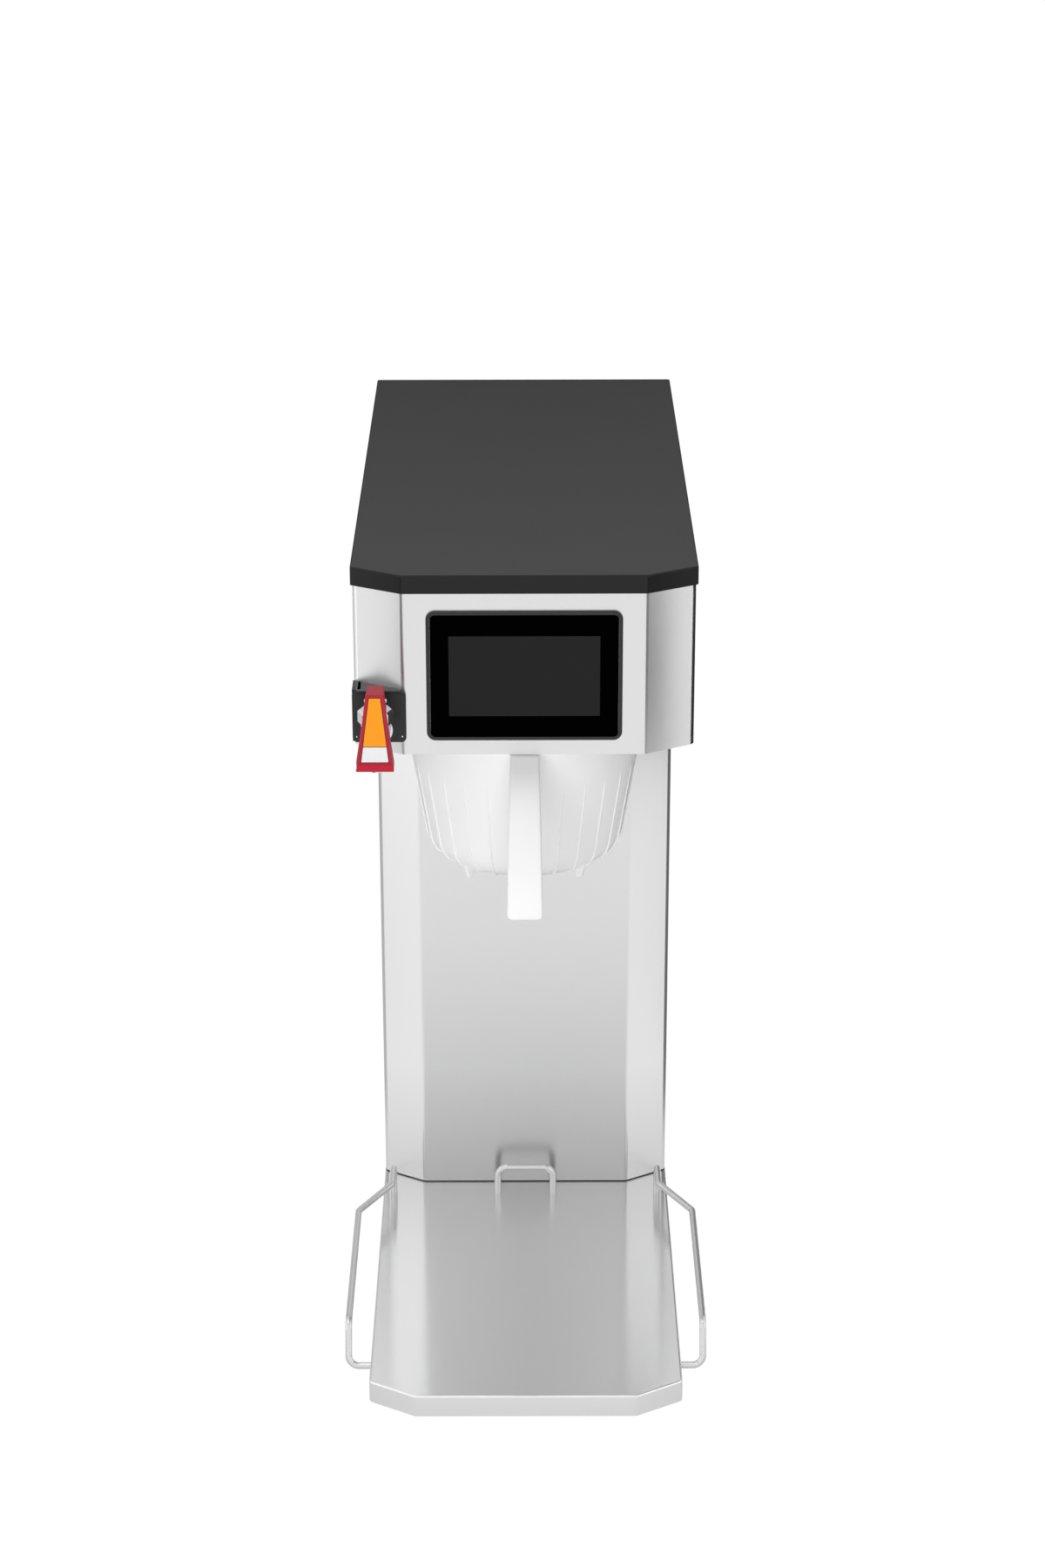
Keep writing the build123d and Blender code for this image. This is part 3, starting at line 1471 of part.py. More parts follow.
save(drop_hose(0), "brew_hose")
save(drop_hose(bypass_offset), "bypass_hose")
fill_points = [(fill_x, fill_y, fill_top), (fill_x, fill_y, tank_bottom)]
save(bent_round(fill_points, hose_bend, hose_radius, hose_bore), "fill_hose")
faucet_points = [
    (faucet_port_x, tank_front, faucet_port_z),
    (faucet_port_x, tank_front - faucet_hose_lead, faucet_port_z),
    (faucet_x, tank_front - faucet_hose_lead - faucet_hose_cross, shank_height),
    (faucet_x, shank_end, shank_height),
]
save(bent_round(faucet_points, hose_bend, hose_radius, hose_bore), "faucet_hose")

# Cord gland and power switch
with BuildPart() as cord_gland:
    add(level_round(gland_x, gland_height, gland_radius, cabinet_rear, cabinet_rear - gland_depth))
    gland_face = cabinet_rear + gland_flange_width
    add(level_round(gland_x, gland_height, gland_flange_radius, gland_face, cabinet_rear))
    with BuildSketch(upright_plane(wrap_rear)):
        with Locations(gland_point):
            hexagon(gland_nut_flats)
    extrude(amount=gland_nut_width)
    with BuildSketch(upright_plane(gland_face)):
        with Locations(gland_point):
            Circle(gland_bore)
    extrude(amount=gland_depth + gland_flange_width, mode=Mode.SUBTRACT)
save(cord_gland, "cord_gland")

rocker_pivot_y = cabinet_rear - rocker_pivot_depth
rocker_half_width = switch_width / 2 - switch_wall - rocker_gap
with BuildPart() as switch_housing:
    with BuildSketch(upright_plane(cabinet_rear)):
        with Locations(switch_point):
            Rectangle(switch_width, switch_length)
    extrude(amount=switch_depth)
    with BuildSketch(upright_plane(cabinet_rear + switch_flange_width)):
        with Locations(switch_point):
            RectangleRounded(
                switch_width + 2 * switch_flange,
                switch_length + 2 * switch_flange,
                switch_corner,
            )
    extrude(amount=switch_flange_width)
    with BuildSketch(upright_plane(cabinet_rear + switch_flange_width)):
        with Locations(switch_point):
            Rectangle(switch_width - 2 * switch_wall, switch_length - 2 * switch_wall)
    extrude(amount=switch_flange_width + switch_pocket, mode=Mode.SUBTRACT)
    with BuildSketch(Plane.YZ.offset(switch_x)):
        with Locations((rocker_pivot_y, switch_height)):
            Circle(rocker_trunnion + pin_clearance)
    extrude(amount=switch_width, both=True, mode=Mode.SUBTRACT)
save(switch_housing, "switch_housing")

with BuildPart() as switch_rocker:
    with BuildSketch(Plane.YZ.offset(switch_x)):
        with Locations(Location((rocker_pivot_y, switch_height), rocker_tilt)):
            Polygon(
                (-rocker_back, -rocker_half_back),
                (rocker_proud, -rocker_half_length),
                (rocker_valley, 0),
                (rocker_proud, rocker_half_length),
                (-rocker_back, rocker_half_back),
                align=None,
            )
    extrude(amount=rocker_half_width, both=True)
    with BuildSketch(Plane.YZ.offset(switch_x)):
        with Locations((rocker_pivot_y, switch_height)):
            Circle(rocker_trunnion)
    extrude(amount=switch_width / 2, both=True)
save(switch_rocker, "switch_rocker")

# Electrical parts on an upright panel inside the column
panel_back = column_front + panel_offset_y
panel_face = panel_back - sheet
with BuildPart() as component_panel:
    add(block(0, (panel_face, panel_back), (base_height, panel_top), 2 * panel_half_width))
    foot_z = (base_height, base_height + sheet)
    add(block(0, (panel_face - panel_foot, panel_back), foot_z, 2 * panel_half_width))
    board_post_x = board_width / 2 - board_post_inset
    board_post_z = board_height / 2 - board_post_inset
    board_mid_height = panel_top - board_drop
    with BuildSketch(upright_plane(panel_face)):
        with Locations((0, board_mid_height)):
            with GridLocations(2 * board_post_x, 2 * board_post_z, 2, 2):
                Circle(board_post_radius)
    extrude(amount=board_stand_off)
save(component_panel, "component_panel")

with BuildPart() as control_board:
    board_back = panel_face - board_stand_off
    low = board_mid_height - board_height / 2
    add(block(0, (board_back - board_thickness, board_back), (low, low + board_height), board_width))
save(control_board, "control_board")


def panel_box(x, drop, width, height, depth):
    """A boxed component on the back of the upright panel, its middle a drop below the panel's top."""
    mid = panel_top - drop
    with BuildPart() as box:
        add(block(x, (panel_back, panel_back + depth), (mid - height / 2, mid + height / 2), width))
    return box


save(panel_box(supply_x, supply_drop, supply_width, supply_height, supply_depth), "power_supply")
save(panel_box(relay_x, relay_drop, relay_width, relay_height, relay_depth), "heater_relay")
with BuildPart() as terminal_block:
    add(panel_box(supply_x, terminal_drop, terminal_width, terminal_height, terminal_depth).part)
    terminal_pitch = terminal_width / terminal_ways
    with BuildSketch(upright_plane(panel_back + terminal_depth)):
        with Locations((supply_x, panel_top - terminal_drop)):
            with GridLocations(terminal_pitch, terminal_height, terminal_ways - 1, 1):
                Rectangle(sheet, terminal_height)
    extrude(amount=terminal_depth / 2, mode=Mode.SUBTRACT)
save(terminal_block, "terminal_block")

# Server stop hoop and side guides, let into the base tray
wire_low = base_height - sheet - wire_tail
stop_top = base_height + stop_height
stop_points = [
    (-stop_half_span, wire_foot_y, wire_low),
    (-stop_half_span, wire_foot_y, stop_top),
    (stop_half_span, wire_foot_y, stop_top),
    (stop_half_span, wire_foot_y, wire_low),
]
save(bent_round(stop_points, stop_bend, stop_wire_radius), "server_stop")

for side, name in ((-1, "side_guide_left"), (1, "side_guide_right")):
    guide_points = [
        (side * guide_foot_x, wire_foot_y, wire_low),
        (side * guide_foot_x, wire_foot_y, guide_top),
        (side * guide_foot_x, guide_knee_y, guide_top),
        (side * guide_out_x, guide_flare_y, guide_top),
        (side * guide_out_x, guide_drop_y, guide_top),
        (side * guide_out_x, guide_end_y, guide_end_height),
        (side * (base_half - sheet - wire_tail), guide_end_y, guide_end_height),
    ]
    save(bent_round(guide_points, guide_bend, guide_wire_radius), name)
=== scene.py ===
import json
import math
import bmesh
import bpy
from mathutils import Euler, Matrix, Vector


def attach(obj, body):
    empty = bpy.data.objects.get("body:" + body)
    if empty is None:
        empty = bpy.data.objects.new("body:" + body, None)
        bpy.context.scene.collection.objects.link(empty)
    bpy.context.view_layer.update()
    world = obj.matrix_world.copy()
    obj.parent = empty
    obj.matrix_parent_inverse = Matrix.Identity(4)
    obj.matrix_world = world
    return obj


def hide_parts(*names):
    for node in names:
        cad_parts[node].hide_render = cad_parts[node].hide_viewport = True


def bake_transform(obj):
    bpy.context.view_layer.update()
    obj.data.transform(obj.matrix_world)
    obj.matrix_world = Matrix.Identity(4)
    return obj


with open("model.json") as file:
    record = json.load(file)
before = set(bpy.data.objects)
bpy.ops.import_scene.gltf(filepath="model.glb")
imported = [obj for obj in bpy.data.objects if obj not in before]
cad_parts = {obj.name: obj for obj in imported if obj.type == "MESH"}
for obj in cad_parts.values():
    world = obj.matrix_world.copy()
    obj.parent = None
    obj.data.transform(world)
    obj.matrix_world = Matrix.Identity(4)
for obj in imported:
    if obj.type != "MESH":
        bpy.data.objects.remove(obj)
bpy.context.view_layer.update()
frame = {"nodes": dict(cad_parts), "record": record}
cadNodes = frame["nodes"]
print("frame loaded,", len(cadNodes), "CAD nodes")

# Camera, where the photograph was taken from
cameraView = {
    "place": (-0.0010, -2.7494, 1.5674),
    "tiltDown": 0.38153,
    "turn": 0.000275,
    "roll": -0.0023767,
    "lens": 77.58,
    "sensor": 36.0,
}
cameraData = bpy.data.cameras.new("photoCamera")
cameraData.lens = cameraView["lens"]
cameraData.sensor_width = cameraView["sensor"]
cameraData.clip_end = 60
photoCamera = bpy.data.objects.new("photoCamera", cameraData)
bpy.context.collection.objects.link(photoCamera)
cameraAim = Euler((math.pi / 2 - cameraView["tiltDown"], 0, cameraView["turn"])).to_matrix().to_4x4()
cameraRoll = Matrix.Rotation(cameraView["roll"], 4, "Z")
photoCamera.matrix_world = Matrix.Translation(cameraView["place"]) @ cameraAim @ cameraRoll
bpy.context.scene.camera = photoCamera
bpy.context.scene.view_settings.view_transform = "Standard"


# Material helpers
def newMaterial(name):
    material = bpy.data.materials.new(name)
    material.use_nodes = True
    return material, material.node_tree, material.node_tree.nodes["Principled BSDF"]


def addNode(tree, kind, **settings):
    node = tree.nodes.new(kind)
    for key, value in settings.items():
        if key in node.inputs:
            node.inputs[key].default_value = value
        else:
            setattr(node, key, value)
    return node


def noiseFrom(tree, stretch, detail=2.0):  # stretch is how many waves fit in a metre, per axis
    coords = addNode(tree, "ShaderNodeTexCoord")
    mapping = addNode(tree, "ShaderNodeMapping", Scale=stretch)
    noise = addNode(tree, "ShaderNodeTexNoise", Scale=1.0, Detail=detail, Roughness=0.5)
    tree.links.new(coords.outputs["Object"], mapping.inputs["Vector"])
    tree.links.new(mapping.outputs["Vector"], noise.inputs["Vector"])
    return noise.outputs["Fac"]


def splitCoords(tree):  # the place on the object, as X, Y and Z in metres
    coords = addNode(tree, "ShaderNodeTexCoord")
    split = addNode(tree, "ShaderNodeSeparateXYZ")
    tree.links.new(coords.outputs["Object"], split.inputs["Vector"])
    return split.outputs


def spread(tree, source, low, high, fromLow=0.3, fromHigh=0.7):  # most noise lies between 0.3 and 0.7
    ranger = addNode(tree, "ShaderNodeMapRange")
    for key, value in (("From Min", fromLow), ("From Max", fromHigh), ("To Min", low), ("To Max", high)):
        ranger.inputs[key].default_value = value
    tree.links.new(source, ranger.inputs["Value"])
    return ranger.outputs["Result"]


def twoTone(tree, source, first, second):
    mix = addNode(tree, "ShaderNodeMix", data_type="RGBA")
    mix.inputs["A"].default_value = (*first, 1)
    mix.inputs["B"].default_value = (*second, 1)
    tree.links.new(source, mix.inputs["Factor"])
    return mix.outputs["Result"]


def bumpFrom(tree, shader, source, strength):
    bump = addNode(tree, "ShaderNodeBump", Strength=strength, Distance=0.0001)
    tree.links.new(source, bump.inputs["Height"])
    tree.links.new(bump.outputs["Normal"], shader.inputs["Normal"])


def grainedMetal(name, look):  # long fine scratches one way, and faint wiping marks
    material, tree, shader = newMaterial(name)
    shader.inputs["Metallic"].default_value = look.get("metal", 1.0)
    grain = noiseFrom(tree, look["grain"])
    wipes = noiseFrom(tree, look["wipes"])
    colour = twoTone(tree, spread(tree, grain, 0, 1), look["dark"], look["light"])
    if "paintedShadeAlong" in look:  # painted shade: darker towards the foot or the back, where little light reaches
        axis, darkEnd, lightEnd, share = look["paintedShadeAlong"]
        along = spread(tree, splitCoords(tree)[axis], 0, 1, darkEnd, lightEnd)
        shade = twoTone(tree, along, (share,) * 3, (1, 1, 1))
        dimmed = addNode(tree, "ShaderNodeMix", data_type="RGBA", blend_type="MULTIPLY")
        dimmed.inputs["Factor"].default_value = 1.0
        tree.links.new(colour, dimmed.inputs["A"])
        tree.links.new(shade, dimmed.inputs["B"])
        colour = dimmed.outputs["Result"]
    tree.links.new(colour, shader.inputs["Base Color"])
    total = addNode(tree, "ShaderNodeMath", operation="ADD")
    tree.links.new(spread(tree, grain, *look["roughness"]), total.inputs[0])
    tree.links.new(spread(tree, wipes, -look["wipeDepth"], look["wipeDepth"]), total.inputs[1])
    tree.links.new(total.outputs[0], shader.inputs["Roughness"])
    bumpFrom(tree, shader, grain, look["bump"])
    if "brushed" in look:
        shader.inputs["Anisotropic"].default_value = look["drawnOut"]
        across = addNode(tree, "ShaderNodeCombineXYZ", **dict(zip("XYZ", look["brushed"])))
        tree.links.new(across.outputs["Vector"], shader.inputs["Tangent"])
    return material


def mouldedPlastic(name, look):  # fine pebbled skin with a slow change of gloss
    material, tree, shader = newMaterial(name)
    shader.inputs["Specular IOR Level"].default_value = look["specular"]
    shader.inputs["Subsurface Weight"].default_value = look.get("depth", 0.0)
    shader.inputs["Subsurface Radius"].default_value = (0.004, 0.004, 0.004)
    pebble = noiseFrom(tree, (look["pebbles"],) * 3)
    slow = noiseFrom(tree, (14, 14, 14))
    colour = twoTone(tree, spread(tree, slow, 0, 1), look["dark"], look["light"])
    tree.links.new(colour, shader.inputs["Base Color"])
    tree.links.new(spread(tree, slow, *look["roughness"]), shader.inputs["Roughness"])
    bumpFrom(tree, shader, pebble, look["bump"])
    return material


# Finishes: colours are linear, as Blender writes them. "grain" and "wipes" are waves in a metre, "brushed" is the
# way in which the shine is drawn out, and "paintedShadeAlong" is painted shade: an axis, its dark and light ends, and
# the share left when dark
metalLooks = {
    # trayMetal is painted light: lighter than cabinetMetal, standing in for more light on the tray, with painted shade
    # towards its back
    "trayMetal": {"light": (0.850, 0.850, 0.852), "dark": (0.840, 0.840, 0.843), "roughness": (0.20, 0.215),
                  "metal": 0.86, "brushed": (0, 1, 0), "drawnOut": 1.0, "paintedShadeAlong": ("Y", 0.02, -0.26, 0.96),
                  "grain": (9, 2600, 2600), "wipes": (9, 4, 9), "wipeDepth": 0.01, "bump": 0.10},
    "cabinetMetal": {"light": (0.735, 0.735, 0.737), "dark": (0.725, 0.725, 0.728), "roughness": (0.245, 0.265),
                     "brushed": (0, 0, 1), "drawnOut": 0.88,
                     "grain": (9, 9, 2600), "wipes": (5, 5, 9), "wipeDepth": 0.01, "bump": 0.10},
    # columnMetal is painted light: a lighter copy of cabinetMetal standing in for more light on the column, with
    # painted shade towards its foot
    "columnMetal": {"light": (0.752, 0.752, 0.754), "dark": (0.742, 0.742, 0.745), "roughness": (0.245, 0.265),
                    "brushed": (0, 0, 1), "drawnOut": 0.88, "paintedShadeAlong": ("Z", 0.025, 0.14, 0.82),
                    "grain": (9, 9, 2600), "wipes": (5, 5, 9), "wipeDepth": 0.01, "bump": 0.10},
    "dullZinc": {"light": (0.56, 0.57, 0.58), "dark": (0.42, 0.43, 0.44), "roughness": (0.35, 0.55),
                 "grain": (160, 160, 160), "wipes": (20, 20, 20), "wipeDepth": 0.06, "bump": 0.15},
    "platedZinc": {"light": (0.60, 0.60, 0.57), "dark": (0.52, 0.52, 0.50), "roughness": (0.25, 0.38),
                   "grain": (500, 500, 500), "wipes": (30, 30, 30), "wipeDepth": 0.05, "bump": 0.08},
    "brightMetal": {"light": (0.76, 0.76, 0.77), "dark": (0.70, 0.70, 0.71), "roughness": (0.12, 0.20),
                    "grain": (700, 700, 700), "wipes": (25, 25, 25), "wipeDepth": 0.03, "bump": 0.04},
    "drawnWire": {"light": (0.73, 0.73, 0.73), "dark": (0.70, 0.70, 0.70), "roughness": (0.17, 0.19), "metal": 0.62,
                  "grain": (900, 60, 900), "wipes": (30, 30, 30), "wipeDepth": 0.03, "bump": 0.05},
    "chromePlate": {"light": (0.72, 0.73, 0.74), "dark": (0.66, 0.67, 0.68), "roughness": (0.09, 0.14), "metal": 0.9,
                    "grain": (300, 300, 300), "wipes": (60, 60, 60), "wipeDepth": 0.02, "bump": 0.02},
    "machinedBrass": {"light": (0.75, 0.57, 0.28), "dark": (0.62, 0.45, 0.20), "roughness": (0.18, 0.32),
                      "grain": (90, 1500, 1500), "wipes": (40, 40, 40), "wipeDepth": 0.04, "bump": 0.08},
}
# "pebbles" are waves in a metre, and "depth" is how much light goes in under the skin
plasticLooks = {
    "blackPowder": {"light": (0.0060, 0.0060, 0.0062), "dark": (0.0052, 0.0052, 0.0054), "roughness": (0.29, 0.32),
                    "specular": 0.28, "pebbles": 2600, "bump": 0.15},
    "bezelPlastic": {"light": (0.014, 0.014, 0.015), "dark": (0.010, 0.010, 0.011), "roughness": (0.32, 0.42),
                     "specular": 0.45, "pebbles": 3200, "bump": 0.12},
    "glossBlack": {"light": (0.010, 0.010, 0.011), "dark": (0.007, 0.007, 0.008), "roughness": (0.24, 0.34),
                   "specular": 0.45, "pebbles": 1800, "bump": 0.10},
    "redPlastic": {"light": (0.52, 0.010, 0.035), "dark": (0.44, 0.008, 0.026), "roughness": (0.30, 0.36),
                   "specular": 0.18, "pebbles": 1500, "bump": 0.05},
    "whitePlastic": {"light": (0.91, 0.91, 0.91), "dark": (0.885, 0.885, 0.89), "roughness": (0.30, 0.42),
                     "specular": 0.45, "pebbles": 900, "bump": 0.05, "depth": 0.15},
    "siliconeHose": {"light": (0.80, 0.80, 0.77), "dark": (0.70, 0.70, 0.66), "roughness": (0.35, 0.50),
                     "specular": 0.4, "pebbles": 600, "bump": 0.08, "depth": 0.3},
    "sealRubber": {"light": (0.024, 0.024, 0.024), "dark": (0.014, 0.014, 0.014), "roughness": (0.55, 0.75),
                   "specular": 0.35, "pebbles": 2000, "bump": 0.25},
    "coilPlastic": {"light": (0.030, 0.030, 0.034), "dark": (0.020, 0.020, 0.024), "roughness": (0.35, 0.5),
                    "specular": 0.45, "pebbles": 1600, "bump": 0.15},
    "orangeInk": {"light": (0.93, 0.32, 0.004), "dark": (0.89, 0.30, 0.003), "roughness": (0.25, 0.35),
                  "specular": 0.2, "pebbles": 2200, "bump": 0.05},
    "whiteInk": {"light": (0.80, 0.80, 0.80), "dark": (0.77, 0.77, 0.775), "roughness": (0.25, 0.35),
                 "specular": 0.2, "pebbles": 2200, "bump": 0.05},
    "blackInk": {"light": (0.012, 0.012, 0.016), "dark": (0.008, 0.008, 0.012), "roughness": (0.25, 0.35),
                 "specular": 0.4, "pebbles": 2200, "bump": 0.05},
}
finishes = {name: grainedMetal(name, look) for name, look in metalLooks.items()}
finishes.update({name: mouldedPlastic(name, look) for name, look in plasticLooks.items()})

# Touch glass: black print round a dark, blank screen
screenLook = {"middle": (0.0, 0.66955), "size": (0.1174, 0.0657), "print": (0.0006, 0.0006, 0.0006),
              "screen": (0.0205, 0.0205, 0.0208), "roughness": (0.10, 0.16)}


def touchGlass(name, look):
    material, tree, shader = newMaterial(name)
    shader.inputs["Specular IOR Level"].default_value = 0.0
    place = splitCoords(tree)
    inside = []
    for axis, middle, size in zip("XZ", look["middle"], look["size"]):
        offset = addNode(tree, "ShaderNodeMath", operation="SUBTRACT")
        offset.inputs[1].default_value = middle
        tree.links.new(place[axis], offset.inputs[0])
        distance = addNode(tree, "ShaderNodeMath", operation="ABSOLUTE")
        tree.links.new(offset.outputs[0], distance.inputs[0])
        within = addNode(tree, "ShaderNodeMath", operation="LESS_THAN")
        within.inputs[1].default_value = size / 2
        tree.links.new(distance.outputs[0], within.inputs[0])
        inside.append(within.outputs[0])
    both = addNode(tree, "ShaderNodeMath", operation="MULTIPLY")
    tree.links.new(inside[0], both.inputs[0])
    tree.links.new(inside[1], both.inputs[1])
    colour = twoTone(tree, both.outputs[0], look["print"], look["screen"])
    tree.links.new(colour, shader.inputs["Base Color"])
    smear = noiseFrom(tree, (30, 30, 18), detail=3.0)
    tree.links.new(spread(tree, smear, *look["roughness"]), shader.inputs["Roughness"])
    return material


finishes["touchGlass"] = touchGlass("touchGlass", screenLook)


# Circuit board: solder mask over a maze of tracks
boardLook = {"mask": (0.010, 0.085, 0.030), "track": (0.020, 0.16, 0.055), "tracks": 260}


def solderMask(name, look):
    material, tree, shader = newMaterial(name)
    coords = addNode(tree, "ShaderNodeTexCoord")
    cells = addNode(tree, "ShaderNodeTexVoronoi", feature="DISTANCE_TO_EDGE", distance="MANHATTAN")
    cells.inputs["Scale"].default_value = look["tracks"]
    cells.inputs["Randomness"].default_value = 0.6
    tree.links.new(coords.outputs["Object"], cells.inputs["Vector"])
    line = spread(tree, cells.outputs["Distance"], 1, 0, 0.05, 0.12)
    tree.links.new(twoTone(tree, line, look["mask"], look["track"]), shader.inputs["Base Color"])
    shader.inputs["Roughness"].default_value = 0.3
    bumpFrom(tree, shader, line, 0.3)
    return material


finishes["solderMask"] = solderMask("solderMask", boardLook)
print("finishes made:", len(finishes))

# Which finish each slot takes, and the nodes that differ from their slot
slotFinish = {
    "brushed_steel": "cabinetMetal", "galvanised_steel": "dullZinc", "zinc_steel": "platedZinc",
    "bright_steel": "brightMetal", "wire_steel": "drawnWire", "chrome": "chromePlate", "brass": "machinedBrass",
    "black_rubber": "sealRubber", "black_lid": "blackPowder", "bezel_black": "bezelPlastic",
    "screen_glass": "touchGlass", "gloss_black": "glossBlack", "red_plastic": "redPlastic",
    "label_face": "orangeInk", "white_plastic": "whitePlastic", "silicone_hose": "siliconeHose",
    "valve_body": "coilPlastic", "circuit_board": "solderMask",
}
nodeFinish = {"base_tray": "trayMetal", "column_wrap": "columnMetal", "tank_shelf": "dullZinc"}
for subpart in frame["record"]["subparts"]:
    node = subpart["node"]
    finish = nodeFinish.get(node, slotFinish[subpart["material_slot"]])
    cadNodes[node].data.materials.clear()
    cadNodes[node].data.materials.append(finishes[finish])
print("finishes set on the CAD nodes")


# Mesh helpers
def placePiece(name, mesh, finish, body):
    piece = bpy.data.objects.new(name, mesh)
    bpy.context.collection.objects.link(piece)
    if finish:
        mesh.materials.append(finishes[finish])
    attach(piece, body)
    return piece


def softEdges(piece, width, segments, degrees=30, harden=False):  # rounds the edges sharper than degrees
    bevel = piece.modifiers.new("softEdges", "BEVEL")
    bevel.width = width
    bevel.segments = segments
    bevel.limit_method = "ANGLE"
    bevel.angle_limit = math.radians(degrees)
    bevel.harden_normals = harden


def smoothBySharpness(mesh, degrees):
    for polygon in mesh.polygons:
        polygon.use_smooth = True
    mesh.set_sharp_from_angle(angle=math.radians(degrees))


def lathe(profile, steps):  # profile is (radius, height) points, turned about the Z axis
    rings = []
    bm = bmesh.new()
    for radius, height in profile:
        if radius == 0:
            rings.append([bm.verts.new((0, 0, height))])
            continue
        ring = []
        for step in range(steps):
            angle = 2 * math.pi * step / steps
            ring.append(bm.verts.new((radius * math.cos(angle), radius * math.sin(angle), height)))
        rings.append(ring)
    for low, high in zip(rings, rings[1:]):
        for step in range(steps):
            after = (step + 1) % steps
            if len(low) == 1:
                bm.faces.new((low[0], high[after], high[step]))
            elif len(high) == 1:
                bm.faces.new((low[step], low[after], high[0]))
            else:
                bm.faces.new((low[step], low[after], high[after], high[step]))
    bmesh.ops.recalc_face_normals(bm, faces=bm.faces)
    return bm


def toMesh(bm, name, degrees=30):
    mesh = bpy.data.meshes.new(name)
    bm.to_mesh(mesh)
    bm.free()
    smoothBySharpness(mesh, degrees)
    return mesh


def roundedRing(bm, centre, across, through, half, thick, turn, steps=5):  # one rounded-rectangle section
    turn = min(turn, half * 0.98, thick * 0.98)
    ring = []
    for sideAcross, sideThrough, start in ((1, 1, 0), (-1, 1, 90), (-1, -1, 180), (1, -1, 270)):
        for step in range(steps + 1):
            angle = math.radians(start + 90 * step / steps)
            alongAcross = sideAcross * (half - turn) + turn * math.cos(angle)
            alongThrough = sideThrough * (thick - turn) + turn * math.sin(angle)
            ring.append(bm.verts.new(centre + across * alongAcross + through * alongThrough))
    return ring


def joinRings(bm, rings):
    for low, high in zip(rings, rings[1:]):
        for step in range(len(low)):
            after = (step + 1) % len(low)
            bm.faces.new((low[step], low[after], high[after], high[step]))


def cutForm(name, outer, cutters):  # a mesh left after cutting, with no modifier kept
    whole = bpy.data.objects.new(name, toMesh(outer, name))
    cutter = bpy.data.objects.new(name + "Cutter", toMesh(cutters, name + "Cutter"))
    for thing in (whole, cutter):
        bpy.context.collection.objects.link(thing)
    cut = whole.modifiers.new("cut", "BOOLEAN")
    cut.object = cutter
    cut.solver = "EXACT"
    cut.use_self = True
    bpy.context.view_layer.update()
    finished = bpy.data.meshes.new_from_object(whole.evaluated_get(bpy.context.evaluated_depsgraph_get()))
    for thing in (whole, cutter):
        bpy.data.objects.remove(thing)
    return finished


def prism(bm, profile, halfAt):  # a side view in Y and Z, as wide at each point as halfAt says
    left = [bm.verts.new((-halfAt(y, z), y, z)) for y, z in profile]
    right = [bm.verts.new((halfAt(y, z), y, z)) for y, z in profile]
    bm.faces.new(left)
    bm.faces.new(right)
    for index in range(len(profile)):
        after = (index + 1) % len(profile)
        bm.faces.new((left[index], left[after], right[after], right[index]))


def taperedBlock(bm, middle, top, bottom, facing=0):  # top and bottom are (along, across, height)
    turn = Matrix.Rotation(facing, 3, "Z")
    corners = []
    for along, across, height in (top, bottom):
        for x, y in ((-1, -1), (1, -1), (1, 1), (-1, 1)):
            corner = turn @ Vector((x * along / 2, y * across / 2, 0))
            corners.append(bm.verts.new((middle[0] + corner.x, middle[1] + corner.y, height)))
    for index in range(4):
        after = (index + 1) % 4
        bm.faces.new((corners[index], corners[after], corners[4 + after], corners[4 + index]))
    bm.faces.new(corners[:4])
    bm.faces.new(corners[4:])


# Faucet lever and its label
leverLook = {
    "edge": 0.0013, "axisX": -0.1146, "top": (-0.3305, 0.670), "foot": (-0.3455, 0.6133), "back": -0.3085,
    "topWidth": 0.0141, "footWidth": 0.0287, "lipWidth": 0.0294, "lipHeight": 0.0052, "lipProud": 0.0010,
    "backDraft": 0.036, "wall": 0.0022, "hollowReach": 0.03, "flank": 0.0060, "cheekLow": 0.6545, "cheekRound": 0.0055,
    "labelFrom": 0.0016, "labelTo": 0.0521, "margin": 0.0023, "split": 0.753, "outline": 0.00075, "rise": 0.00028,
}


def leverHalf(look, share):  # half the lever's width, share of the way down its face
    return (look["topWidth"] + share * (look["footWidth"] - look["topWidth"])) / 2


def leverForm(look):
    topY, topZ = look["top"]
    footY, footZ = look["foot"]
    slope = (footY - topY) / (topZ - footZ)
    lipZ = footZ + look["lipHeight"]
    back, low, turn = look["back"], look["cheekLow"], look["cheekRound"]
    wall, proud, flank, reach = look["wall"], look["lipProud"], look["flank"], look["hollowReach"]

    def faceY(z):
        return topY + slope * (topZ - z)

    def bodyHalf(y, z):
        return leverHalf(look, (topZ - z) / (topZ - footZ)) - look["backDraft"] * max(0, y - faceY(z))

    def outerHalf(y, z):
        lipStands = (look["lipWidth"] - look["footWidth"]) / 2
        return bodyHalf(y, z) + (lipStands if z <= lipZ + 1e-6 else 0)

    def innerHalf(y, z):
        return bodyHalf(y, z) - wall

    outer = bmesh.new()
    prism(outer, [
        (back, topZ), (topY, topZ), (faceY(lipZ + proud), lipZ + proud), (faceY(lipZ) - proud, lipZ),
        (faceY(footZ) - proud, footZ), (faceY(footZ) + flank, footZ), (faceY(lipZ) + flank, lipZ),
        (faceY(lipZ + proud) + flank, lipZ + proud), (faceY(low) + flank, low),
        (back - turn, low), (back - turn * 0.3, low + turn * 0.3), (back, low + turn),
    ], outerHalf)
    inner = bmesh.new()
    prism(inner, [
        (back + reach, topZ - wall), (faceY(topZ - wall) + wall, topZ - wall),
        (faceY(lipZ) + wall, lipZ), (faceY(lipZ) + reach, lipZ),
    ], innerHalf)
    for form in (outer, inner):
        bmesh.ops.recalc_face_normals(form, faces=form.faces)
        bmesh.ops.translate(form, verts=form.verts, vec=(look["axisX"], 0, 0))
    return cutForm("leverForm", outer, inner)


